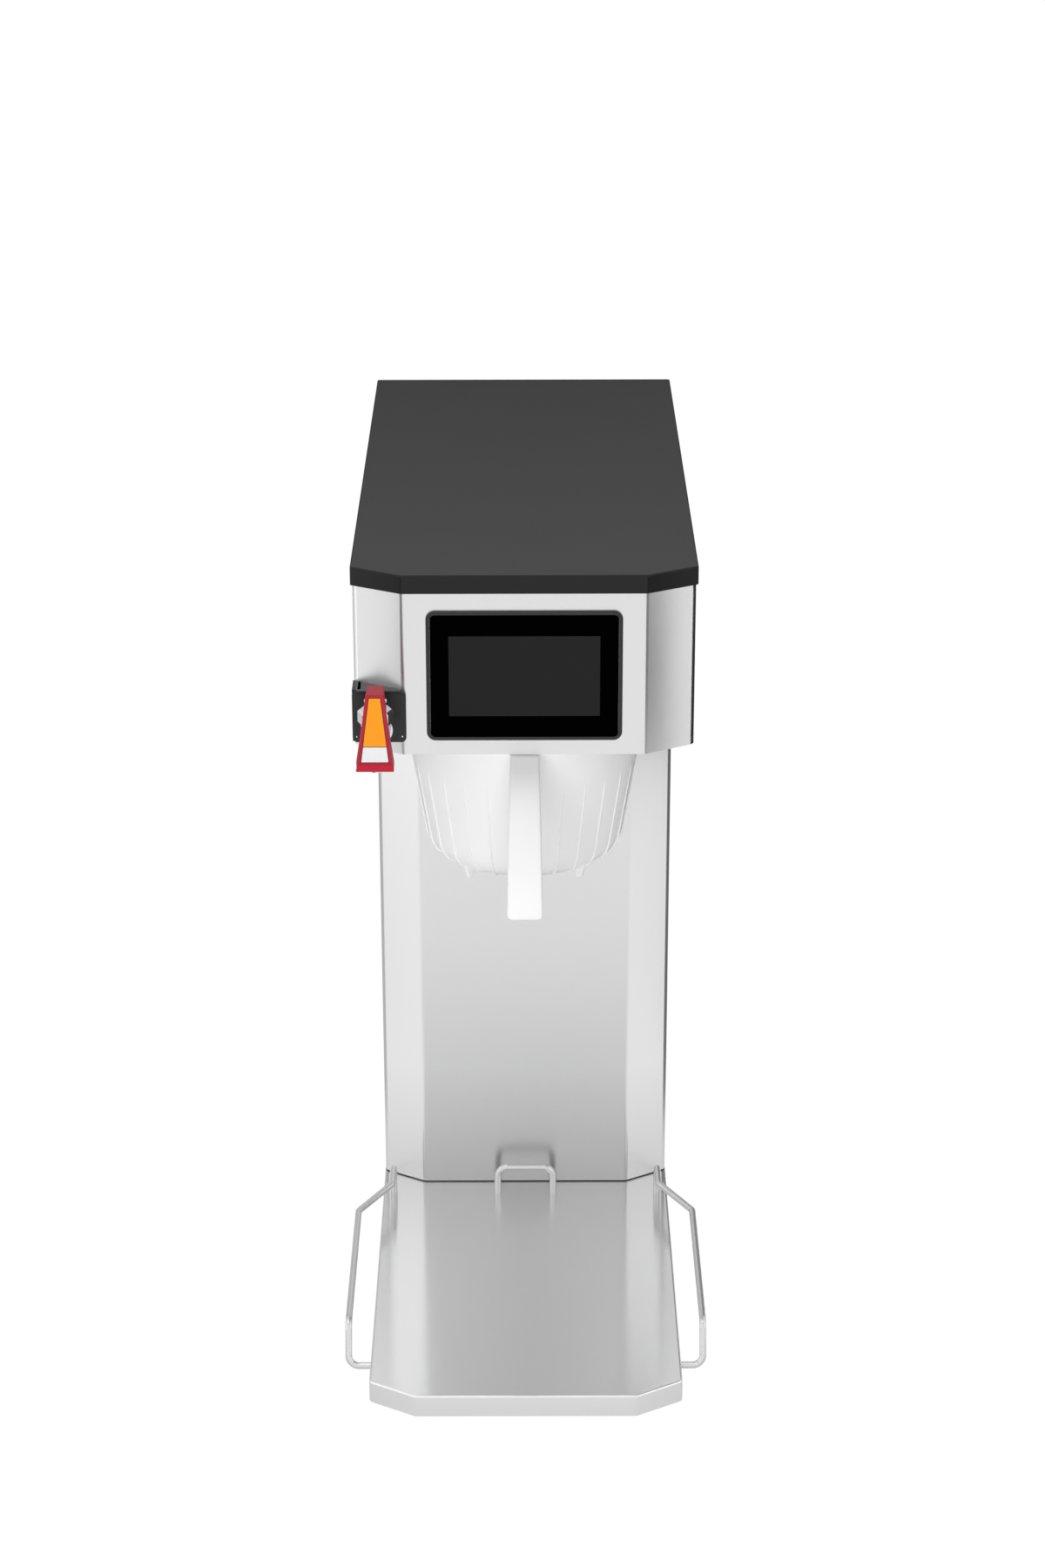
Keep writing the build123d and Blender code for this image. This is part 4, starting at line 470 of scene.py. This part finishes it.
leverMesh = leverForm(leverLook)
smoothBySharpness(leverMesh, 25)
faucetLever = placePiece("faucetLever", leverMesh, "redPlastic", "faucet_handle")
softEdges(faucetLever, leverLook["edge"], 4, degrees=25, harden=True)
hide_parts("faucet_handle")


def labelCorner(look, side, down, inset):  # a point on the lever's face, down from its top, and the way out of it
    topY, topZ = look["top"]
    footY, footZ = look["foot"]
    length = math.hypot(footY - topY, footZ - topZ)
    half = leverHalf(look, down / length) - look["margin"] - inset
    along = Vector((0, footY - topY, footZ - topZ)) / length
    out = Vector((0, along.z, -along.y))
    if out.y > 0:
        out = -out
    return Vector((look["axisX"] + side * half, topY, topZ)) + along * down, out


def labelField(bm, look, start, end, inset, rise, slot):
    corners = []
    for side, down in ((-1, start), (1, start), (1, end), (-1, end)):
        place, out = labelCorner(look, side, down, inset)
        corners.append((place + out * 0.00001, place + out * rise))
    upper = [bm.verts.new(top) for _, top in corners]
    lower = [bm.verts.new(bottom) for bottom, _ in corners]
    face = bm.faces.new(upper)
    face.material_index = slot
    for index in range(4):
        after = (index + 1) % 4
        wall = bm.faces.new((upper[index], lower[index], lower[after], upper[after]))
        wall.material_index = slot


labelMesh = bmesh.new()
labelFrom, labelTo, line, rise = (leverLook[key] for key in ("labelFrom", "labelTo", "outline", "rise"))
splitAt = labelFrom + leverLook["split"] * (labelTo - labelFrom)
labelField(labelMesh, leverLook, labelFrom, labelTo, 0, rise * 0.6, 0)
labelField(labelMesh, leverLook, labelFrom + line, splitAt - line / 3, line, rise, 1)
labelField(labelMesh, leverLook, splitAt + line / 3, labelTo - line, line, rise, 2)
bmesh.ops.recalc_face_normals(labelMesh, faces=labelMesh.faces)
leverLabel = placePiece("leverLabel", toMesh(labelMesh, "leverLabel"), None, "faucet_handle")
for ink in ("blackInk", "orangeInk", "whiteInk"):
    leverLabel.data.materials.append(finishes[ink])
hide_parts("handle_label")
print("lever and label made")

# Faucet spring, a coil between the seat cup and the bonnet's roof
springLook = {"place": (-0.1146, -0.3155), "low": 0.6244, "high": 0.6482, "radius": 0.0042, "wire": 0.00055,
              "turns": 6, "turnSteps": 16}


def coilSpring(name, look, finish):  # a coil of wire from its low end to its high end
    curve = bpy.data.curves.new(name, "CURVE")
    curve.dimensions = "3D"
    curve.bevel_depth = look["wire"]
    curve.bevel_resolution = 4
    middleX, middleY = look["place"]
    steps = look["turns"] * look["turnSteps"]
    spline = curve.splines.new("POLY")
    spline.points.add(steps)
    for step, point in enumerate(spline.points):
        share = step / steps
        angle = share * look["turns"] * 2 * math.pi
        height = look["low"] + share * (look["high"] - look["low"])
        point.co = (middleX + look["radius"] * math.cos(angle), middleY + look["radius"] * math.sin(angle), height, 1)
    wire = bpy.data.objects.new(name + "Line", curve)
    bpy.context.collection.objects.link(wire)
    spring = bpy.data.objects.new(name, bpy.data.meshes.new_from_object(wire))
    bpy.context.collection.objects.link(spring)
    bpy.data.objects.remove(wire)
    spring.data.materials.append(finishes[finish])
    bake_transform(spring)
    return spring


returnSpring = coilSpring("returnSpring", springLook, "brightMetal")
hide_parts("faucet_spring")
print("spring made")

# Brew funnel: a moulded bowl whose ribs swell out of the wall
funnelLook = {
    "axis": (0.0, -0.1755), "rimTop": 0.6036, "rimBottom": 0.6008, "rimRadius": 0.1030, "mouth": 0.0982,
    "taper": 0.175, "bottom": 0.4792, "corner": 0.0253, "wall": 0.0026, "drain": 0.0090, "spoutWall": 0.0024,
    "spoutLength": 0.0060, "ribs": 28, "ribTop": 0.5656, "ribRise": 0.0011, "ribEnd": 62.0, "ribFade": 84.0,
    "crest": 0.00030, "ribSlope": 0.00045, "ribSpan": 0.085, "rimRound": 0.0007, "seamRound": 0.0012,
    "wallSteps": 46, "cornerSteps": 14,
}
# Where the mesh has its lines round one rib, in shares of half a pitch: close together on the rib itself
ribOffsets = [-1.0, -0.6, -0.28, -0.13, -0.09, -0.062, -0.037, 0.0, 0.037, 0.062, 0.09, 0.13, 0.28, 0.6]


def wallRadius(look, height):
    return look["mouth"] - look["taper"] * (look["rimBottom"] - height)


def lowerCorner(look):  # the wall's tilt, the round corner's middle (radius, height), and where the straight wall ends
    tilt = math.atan(look["taper"])
    height = look["bottom"] + look["corner"]
    radius = wallRadius(look, height) - look["corner"] / math.cos(tilt)
    return tilt, radius, height, height - look["corner"] * math.sin(tilt)


def funnelProfile(look):  # from the rim's inner edge, over the rim, down the outside, under, and up the inside
    rimTop, rimBottom, rimRadius, turn = look["rimTop"], look["rimBottom"], look["rimRadius"], look["rimRound"]
    inner = wallRadius(look, rimTop) - look["wall"]
    points = [(inner, rimTop - turn), (inner + turn * 0.3, rimTop - turn * 0.3), (inner + turn, rimTop)]
    points += [(rimRadius - turn, rimTop), (rimRadius - turn * 0.3, rimTop - turn * 0.3), (rimRadius, rimTop - turn)]
    points += [(rimRadius, rimBottom + turn), (rimRadius - turn * 0.3, rimBottom + turn * 0.3)]
    points += [(rimRadius - turn, rimBottom)]
    mouth, seam, corner = look["mouth"], look["seamRound"], look["corner"]
    points += [(mouth + seam, rimBottom), (mouth + seam * 0.25, rimBottom - seam * 0.25)]
    tilt, cornerRadius, cornerHeight, wallEnd = lowerCorner(look)
    wallStart = rimBottom - seam
    for step in range(look["wallSteps"] + 1):
        height = wallStart + (wallEnd - wallStart) * step / look["wallSteps"]
        points.append((wallRadius(look, height), height))
    for step in range(1, look["cornerSteps"] + 1):
        angle = -tilt - (math.pi / 2 - tilt) * step / look["cornerSteps"]
        points.append((cornerRadius + corner * math.cos(angle), cornerHeight + corner * math.sin(angle)))
    drain, bottom, edge = look["drain"], look["bottom"], 0.0006
    spout = drain + look["spoutWall"]
    low = bottom - look["spoutLength"]
    floor = bottom + look["wall"]
    points += [(cornerRadius * 0.6, bottom), (spout + 0.002, bottom), (spout + 0.0005, bottom - 0.0005)]
    points += [(spout, bottom - 0.002), (spout, low + edge), (spout - edge, low), (drain + edge, low)]
    points += [(drain, low + edge), (drain, floor - 0.001), (drain + 0.001, floor)]
    corner -= look["wall"]
    for step in range(look["cornerSteps"] + 1):
        angle = -math.pi / 2 + (math.pi / 2 - tilt) * step / look["cornerSteps"]
        points.append((cornerRadius + corner * math.cos(angle), cornerHeight + corner * math.sin(angle)))
    for step in range(1, 9):
        height = wallEnd + (rimTop - turn - wallEnd) * step / 8
        points.append((wallRadius(look, height) - look["wall"], height))
    return points


def ribStand(look, radius, height):  # how far a rib's crest stands off the outside, and which way
    tilt, cornerRadius, cornerHeight, wallEnd = lowerCorner(look)
    if height >= look["ribTop"]:
        return 0, (1, 0)
    if height >= wallEnd - 1e-7:
        down = (look["ribTop"] - height) / (look["ribTop"] - wallEnd)
        return look["ribRise"] * min(1, down * 12) * (0.45 + 0.55 * down), (math.cos(tilt), -math.sin(tilt))
    angle = math.atan2(cornerHeight - height, radius - cornerRadius)
    fade = (look["ribFade"] - math.degrees(angle)) / (look["ribFade"] - look["ribEnd"])
    return look["ribRise"] * min(1, max(0, fade)), (math.cos(angle), -math.sin(angle))


def funnelBowl(look):
    profile = funnelProfile(look)
    pitch = 2 * math.pi / look["ribs"]
    halfSpan = pitch * look["ribSpan"] / 2
    outsideStart = 11  # after the rim's points
    outsideEnd = outsideStart + look["wallSteps"] + 1 + look["cornerSteps"]
    middleX, middleY = look["axis"]
    bm = bmesh.new()
    rings = []
    for index, (radius, height) in enumerate(profile):
        ring = []
        for rib in range(look["ribs"]):
            for share in ribOffsets:
                angle = -math.pi / 2 + pitch * (rib + 0.5 + share / 2)
                out, level = radius, height
                if outsideStart <= index < outsideEnd:
                    stand, way = ribStand(look, radius, height)
                    fall = min(1, max(0, (abs(share) * halfSpan - look["crest"]) / look["ribSlope"]))
                    stand *= 1 - fall * fall * (3 - 2 * fall)
                    out += stand * way[0]
                    level += stand * way[1]
                place = (middleX + out * math.cos(angle), middleY + out * math.sin(angle), level)
                ring.append(bm.verts.new(place))
        rings.append(ring)
    joinRings(bm, [*rings, rings[0]])
    bmesh.ops.recalc_face_normals(bm, faces=bm.faces)
    return bm


funnelMesh = toMesh(funnelBowl(funnelLook), "brewFunnel", 42)
brewFunnel = placePiece("brewFunnel", funnelMesh, "whitePlastic", "funnel")
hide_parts("funnel_basket")

# Feet and nubs under the bowl, and the boss that the strap is screwed to
footLook = {
    "footAngles": (45, 135, 225, 315), "footRing": 0.063, "footTop": (0.015, 0.005, 0.4850),
    "footTip": (0.0042, 0.0030, 0.4712), "nubAngles": (-19, 19, 161, 199), "nubRing": 0.060,
    "nubTop": (0.0050, 0.0050, 0.4835), "nubTip": (0.0042, 0.0042, 0.4747), "bossTop": 0.6033,
    "bossDepth": (-0.2788, -0.2600), "bossWidth": 0.019, "bossHeight": 0.016, "round": 0.0008,
}
footMesh = bmesh.new()
axisX, axisY = funnelLook["axis"]
for kind in ("foot", "nub"):
    for degrees in footLook[kind + "Angles"]:
        angle, ring = math.radians(degrees), footLook[kind + "Ring"]
        middle = (axisX + ring * math.cos(angle), axisY + ring * math.sin(angle))
        taperedBlock(footMesh, middle, footLook[kind + "Top"], footLook[kind + "Tip"], angle)
bossFront, bossBack = footLook["bossDepth"]
bossSize = (footLook["bossWidth"], bossBack - bossFront)
bossTop, bossLow = footLook["bossTop"], footLook["bossTop"] - footLook["bossHeight"]
taperedBlock(footMesh, (axisX, (bossFront + bossBack) / 2), (*bossSize, bossTop), (*bossSize, bossLow))
bmesh.ops.recalc_face_normals(footMesh, faces=footMesh.faces)
funnelFeet = placePiece("funnelFeet", toMesh(footMesh, "funnelFeet"), "whitePlastic", "funnel")
softEdges(funnelFeet, footLook["round"], 3)

# Strap handle: "root" and "tip" are (Y, Z) ends of its upper side
strapLook = {
    "root": (-0.2788, 0.6034), "tip": (-0.3847, 0.5058), "bow": 0.020, "thick": 0.007, "topWidth": 0.0228,
    "tipWidth": 0.0278, "edge": 0.0021, "tipRound": 0.0046, "steps": 44, "footDepth": 0.007, "footLow": 0.5879,
}


def strapForm(look):  # rounded sections along an arc, closing in at the tip
    root, tip = (Vector((0, *look[end])) for end in ("root", "tip"))
    chord = tip - root
    out = Vector((0, chord.z, -chord.y)).normalized()
    if out.z < 0:
        out = -out
    bend = (chord.length ** 2 / 4 + look["bow"] ** 2) / (2 * look["bow"])
    centre = (root + tip) / 2 + out * (look["bow"] - bend)
    startAngle, endAngle = (math.atan2((end - centre).z, (end - centre).y) for end in (root, tip))
    length = bend * abs(endAngle - startAngle)
    edge, tipRound = look["edge"], look["tipRound"]
    bm = bmesh.new()
    rings = []
    stops = [step / look["steps"] for step in range(look["steps"] + 1)]
    ends = [1 - tipRound * (1 - math.sin(math.radians(turn))) / length for turn in range(10, 90, 10)]
    for share in sorted([stop for stop in stops if stop < ends[0] or stop == 1] + ends):
        angle = startAngle + (endAngle - startAngle) * share
        through = Vector((0, math.cos(angle), math.sin(angle)))
        left = (1 - share) * length
        half = (look["topWidth"] + share * (look["tipWidth"] - look["topWidth"])) / 2
        thick = look["thick"] / 2
        if left < tipRound:
            half -= tipRound - math.sqrt(tipRound ** 2 - (tipRound - left) ** 2)
        if left < edge:
            thick -= edge - math.sqrt(max(0, edge ** 2 - (edge - left) ** 2))
        middle = centre + through * (bend - look["thick"] / 2)
        rings.append(roundedRing(bm, middle, Vector((1, 0, 0)), through, half, thick, edge))
    joinRings(bm, rings)
    bm.faces.new(rings[0])
    bm.faces.new(rings[-1])
    rootY, rootZ = look["root"]
    foot = (look["topWidth"], look["footDepth"])
    footMiddle = (0, rootY - look["footDepth"] / 2)
    taperedBlock(bm, footMiddle, (*foot, rootZ - look["thick"] / 2), (*foot, look["footLow"]))
    bmesh.ops.recalc_face_normals(bm, faces=bm.faces)
    return bm


strapMesh = toMesh(strapForm(strapLook), "funnelStrap", 35)
funnelStrap = placePiece("funnelStrap", strapMesh, "whitePlastic", "funnel")
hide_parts("funnel_handle")
print("funnel made:", len(brewFunnel.data.vertices), "vertices")

# Screw heads with a cross recess
screwLook = {"radius": 0.0040, "height": 0.0022, "crossLong": 0.0044, "crossWide": 0.0009, "crossDeep": 0.0013,
             "plateScale": 0.225}


def crossHead(look):  # one head, facing up at the origin
    radius, height, floor = look["radius"], look["height"], look["height"] - look["crossDeep"]
    dome = lathe([
        (0, 0), (radius, 0), (radius, height * 0.25), (radius * 0.93, height * 0.62),
        (radius * 0.74, height * 0.88), (radius * 0.4, height), (0, height),
    ], 32)
    cutters = bmesh.new()
    for long, wide in ((look["crossLong"], look["crossWide"]), (look["crossWide"], look["crossLong"])):
        taperedBlock(cutters, (0, 0), (long, wide, height * 1.5), (long * 0.75, wide, floor))
    bmesh.ops.recalc_face_normals(cutters, faces=cutters.faces)
    return cutForm("crossHead", dome, cutters)


def placeHeads(name, head, places, scale, node, finish):  # facing is 1 to the rear and -1 to the front
    bm = bmesh.new()
    for x, y, z, facing in places:
        start = len(bm.verts)
        bm.from_mesh(head)
        bm.verts.ensure_lookup_table()
        driven = (x * 700 + z * 900) % 1.5  # each cross stands at its own angle
        turn = Matrix.Rotation(-facing * math.pi / 2, 4, "X") @ Matrix.Rotation(driven, 4, "Z")
        matrix = Matrix.Translation((x, y, z)) @ turn @ Matrix.Scale(scale, 4)
        bmesh.ops.transform(bm, matrix=matrix, verts=bm.verts[start:])
    heads = placePiece(name, toMesh(bm, name, 35), finish, "cabinet")
    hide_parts(node)
    return heads


def looseBoxes(node):  # the box of each loose solid in a node
    bm = bmesh.new()
    bm.from_mesh(cadNodes[node].data)
    bmesh.ops.remove_doubles(bm, verts=bm.verts, dist=1e-6)
    left = set(bm.verts)
    boxes = []
    while left:
        group, front = set(), [left.pop()]
        while front:
            vert = front.pop()
            group.add(vert)
            for edge in vert.link_edges:
                other = edge.other_vert(vert)
                if other in left:
                    left.remove(other)
                    front.append(other)
        low = Vector([min(v.co[axis] for v in group) for axis in range(3)])
        high = Vector([max(v.co[axis] for v in group) for axis in range(3)])
        boxes.append((low, high))
    bm.free()
    return boxes


headMesh = crossHead(screwLook)
headHeight, plateScale = screwLook["height"], screwLook["plateScale"]
rearPlaces = []
for low, high in looseBoxes("cabinet_screws"):
    middle = (low + high) / 2
    rearPlaces.append((middle.x, high.y - headHeight, middle.z, 1))
platePlaces = []
for low, high in looseBoxes("faucet_plate_screws"):
    middle = (low + high) / 2
    platePlaces.append((middle.x, low.y + headHeight * plateScale, middle.z, -1))
placeHeads("cabinetScrewHeads", headMesh, rearPlaces, 1.0, "cabinet_screws", "brightMetal")
placeHeads("plateScrewHeads", headMesh, platePlaces, plateScale, "faucet_plate_screws", "brightMetal")
print("screws made:", len(rearPlaces) + len(platePlaces))

# Stage: a pale floor and a white background. "seen" values are what the camera and the metal see of the floor
stageLook = {"floorSize": 60.0, "floorColour": 0.80, "seenColour": 0.10, "seenGlow": 0.965, "ambient": 0.44}


def isShown(tree):  # 1 for rays that the camera, metal or glass sends out
    path = addNode(tree, "ShaderNodeLightPath")
    first = addNode(tree, "ShaderNodeMath", operation="MAXIMUM")
    second = addNode(tree, "ShaderNodeMath", operation="MAXIMUM")
    tree.links.new(path.outputs["Is Camera Ray"], first.inputs[0])
    tree.links.new(path.outputs["Is Glossy Ray"], first.inputs[1])
    tree.links.new(first.outputs[0], second.inputs[0])
    tree.links.new(path.outputs["Is Transmission Ray"], second.inputs[1])
    return second.outputs[0]


def flatSheet(name, width, height):
    bm = bmesh.new()
    corners = ((-1, -1), (1, -1), (1, 1), (-1, 1))
    bm.faces.new([bm.verts.new((x * width / 2, y * height / 2, 0)) for x, y in corners])
    sheet = bpy.data.objects.new(name, toMesh(bm, name))
    bpy.context.collection.objects.link(sheet)
    return sheet


def turnTowards(thing, place, aim):
    thing.location = place
    thing.rotation_euler = (Vector(aim) - Vector(place)).to_track_quat("-Z", "Y").to_euler()


floor = flatSheet("floor", stageLook["floorSize"], stageLook["floorSize"])
floorMaterial, floorTree, floorShader = newMaterial("paleFloor")
shown = isShown(floorTree)
lit, seen = stageLook["floorColour"], stageLook["seenColour"]
floorTree.links.new(twoTone(floorTree, shown, (lit, lit, lit), (seen, seen, seen)), floorShader.inputs["Base Color"])
floorShader.inputs["Roughness"].default_value = 0.9
floorShader.inputs["Specular IOR Level"].default_value = 0.0
floorShader.inputs["Emission Color"].default_value = (1, 1, 1, 1)
floorTree.links.new(spread(floorTree, shown, 0, stageLook["seenGlow"], 0, 1), floorShader.inputs["Emission Strength"])
floor.data.materials.append(floorMaterial)

world = bpy.data.worlds.new("studio")
bpy.context.scene.world = world
world.use_nodes = True
worldShader = world.node_tree.nodes["Background"]
worldShader.inputs["Color"].default_value = (1, 1, 1, 1)
worldGlow = spread(world.node_tree, isShown(world.node_tree), stageLook["ambient"], 1.0, 0, 1)
world.node_tree.links.new(worldGlow, worldShader.inputs["Strength"])

# Lamps: "mirrored" says whether metal shows the lamp itself
lampLooks = {
    "leftSoftbox": {"place": (-1.55, -0.68, 0.80), "aim": (0, -0.05, 0.35), "size": (0.5, 1.6),
                    "power": 1.63, "mirrored": True},
    "rightSoftbox": {"place": (1.55, -0.68, 0.85), "aim": (0, -0.05, 0.35), "size": (0.5, 1.4),
                     "power": 1.42, "mirrored": True},
    "frontSoftbox": {"place": (-0.45, -3.4, 1.25), "aim": (0, -0.1, 0.50), "size": (2.1, 1.2),
                     "power": 53, "mirrored": False},
    "topSoftbox": {"place": (-0.5, -0.6, 2.6), "aim": (0, -0.1, 0.35), "size": (1.4, 1.4),
                   "power": 6, "mirrored": True},
}
for name, look in lampLooks.items():
    lampData = bpy.data.lights.new(name, "AREA")
    lampData.shape = "RECTANGLE"
    lampData.size, lampData.size_y = look["size"]
    lampData.energy = look["power"]
    lamp = bpy.data.objects.new(name, lampData)
    lamp.visible_glossy = look["mirrored"]
    turnTowards(lamp, look["place"], look["aim"])
    bpy.context.collection.objects.link(lamp)

# Cards: sheets that only metal and gloss show. "foot" and "end" are (X, Y), "rise" is from and to which height, and
# "tone" is the glow at the lower and the upper edge. One with a "level" lies flat there, and its "rise" is along Y
cardLooks = {
    "paleCardFront": {"foot": (-2.2, -5.0), "end": (2.2, -5.0), "rise": (0.9, 4.2), "tone": (1.0, 0.85)},
    "darkCardBack": {"foot": (6.0, 5.0), "end": (-6.0, 5.0), "rise": (1.95, 3.0), "tone": (0.0, 1.0)},
    "darkCardBackLow": {"foot": (6.0, 5.0), "end": (-6.0, 5.0), "rise": (0.0, 1.95), "tone": (0.0, 0.0)},
    # painted shadow: a grey sheet on the floor in front of the tray, shown only in reflections, standing in for the
    # floor's shade close to the tray
    "floorShadowCard": {"foot": (-0.40, 0.0), "end": (0.40, 0.0), "rise": (-0.45, -0.20), "tone": (0.97, 0.62),
                      "level": 0.0004},
    "darkCardRight": {"foot": (0.215, -0.560), "end": (0.356, -0.411), "rise": (0.48, 0.72), "tone": (0.17, 0.10)},
    "darkCardRightHead": {"foot": (0.330, -0.318), "end": (0.300, 0.060), "rise": (0.42, 0.78),
                          "tone": (0.03, 0.03)},
    "darkCardRightSide": {"foot": (0.300, 0.060), "end": (0.200, 0.600), "rise": (0.0, 0.78), "tone": (0.20, 0.10)},
    "darkCardLeft": {"foot": (-0.340, -0.430), "end": (-0.215, -0.560), "rise": (0.48, 0.72), "tone": (0.15, 0.10)},
    "greyCardLeftHead": {"foot": (-0.300, 0.060), "end": (-0.330, -0.20), "rise": (0.53, 0.68),
                         "tone": (0.70, 0.70)},
    "greyCardLeftSide": {"foot": (-0.200, 0.600), "end": (-0.300, 0.060), "rise": (0.0, 0.68),
                         "tone": (0.60, 0.50)},
}
for name, look in cardLooks.items():
    foot, end = Vector(look["foot"]), Vector(look["end"])
    low, high = look["rise"]
    middle = (foot + end) / 2
    card = flatSheet(name, (end - foot).length, high - low)
    across = (end - foot).normalized()
    facing = Matrix(((across.x, 0, across.y), (across.y, 0, -across.x), (0, 1, 0)))
    card.matrix_world = Matrix.Translation((middle.x, middle.y, (low + high) / 2)) @ facing.to_4x4()
    if "level" in look:
        card.matrix_world = Matrix.Translation((middle.x, (low + high) / 2, look["level"]))
    material, tree, shader = newMaterial(name)
    shader.inputs["Base Color"].default_value = (0, 0, 0, 1)
    shader.inputs["Specular IOR Level"].default_value = 0.0
    shader.inputs["Emission Color"].default_value = (1, 1, 1, 1)
    tone = spread(tree, splitCoords(tree)["Y"], *look["tone"], (low - high) / 2, (high - low) / 2)
    tree.links.new(tone, shader.inputs["Emission Strength"])
    card.data.materials.append(material)
    card.visible_camera = False
    card.visible_diffuse = False
    card.visible_shadow = False
    card.visible_transmission = False
print("stage, lamps and cards set")
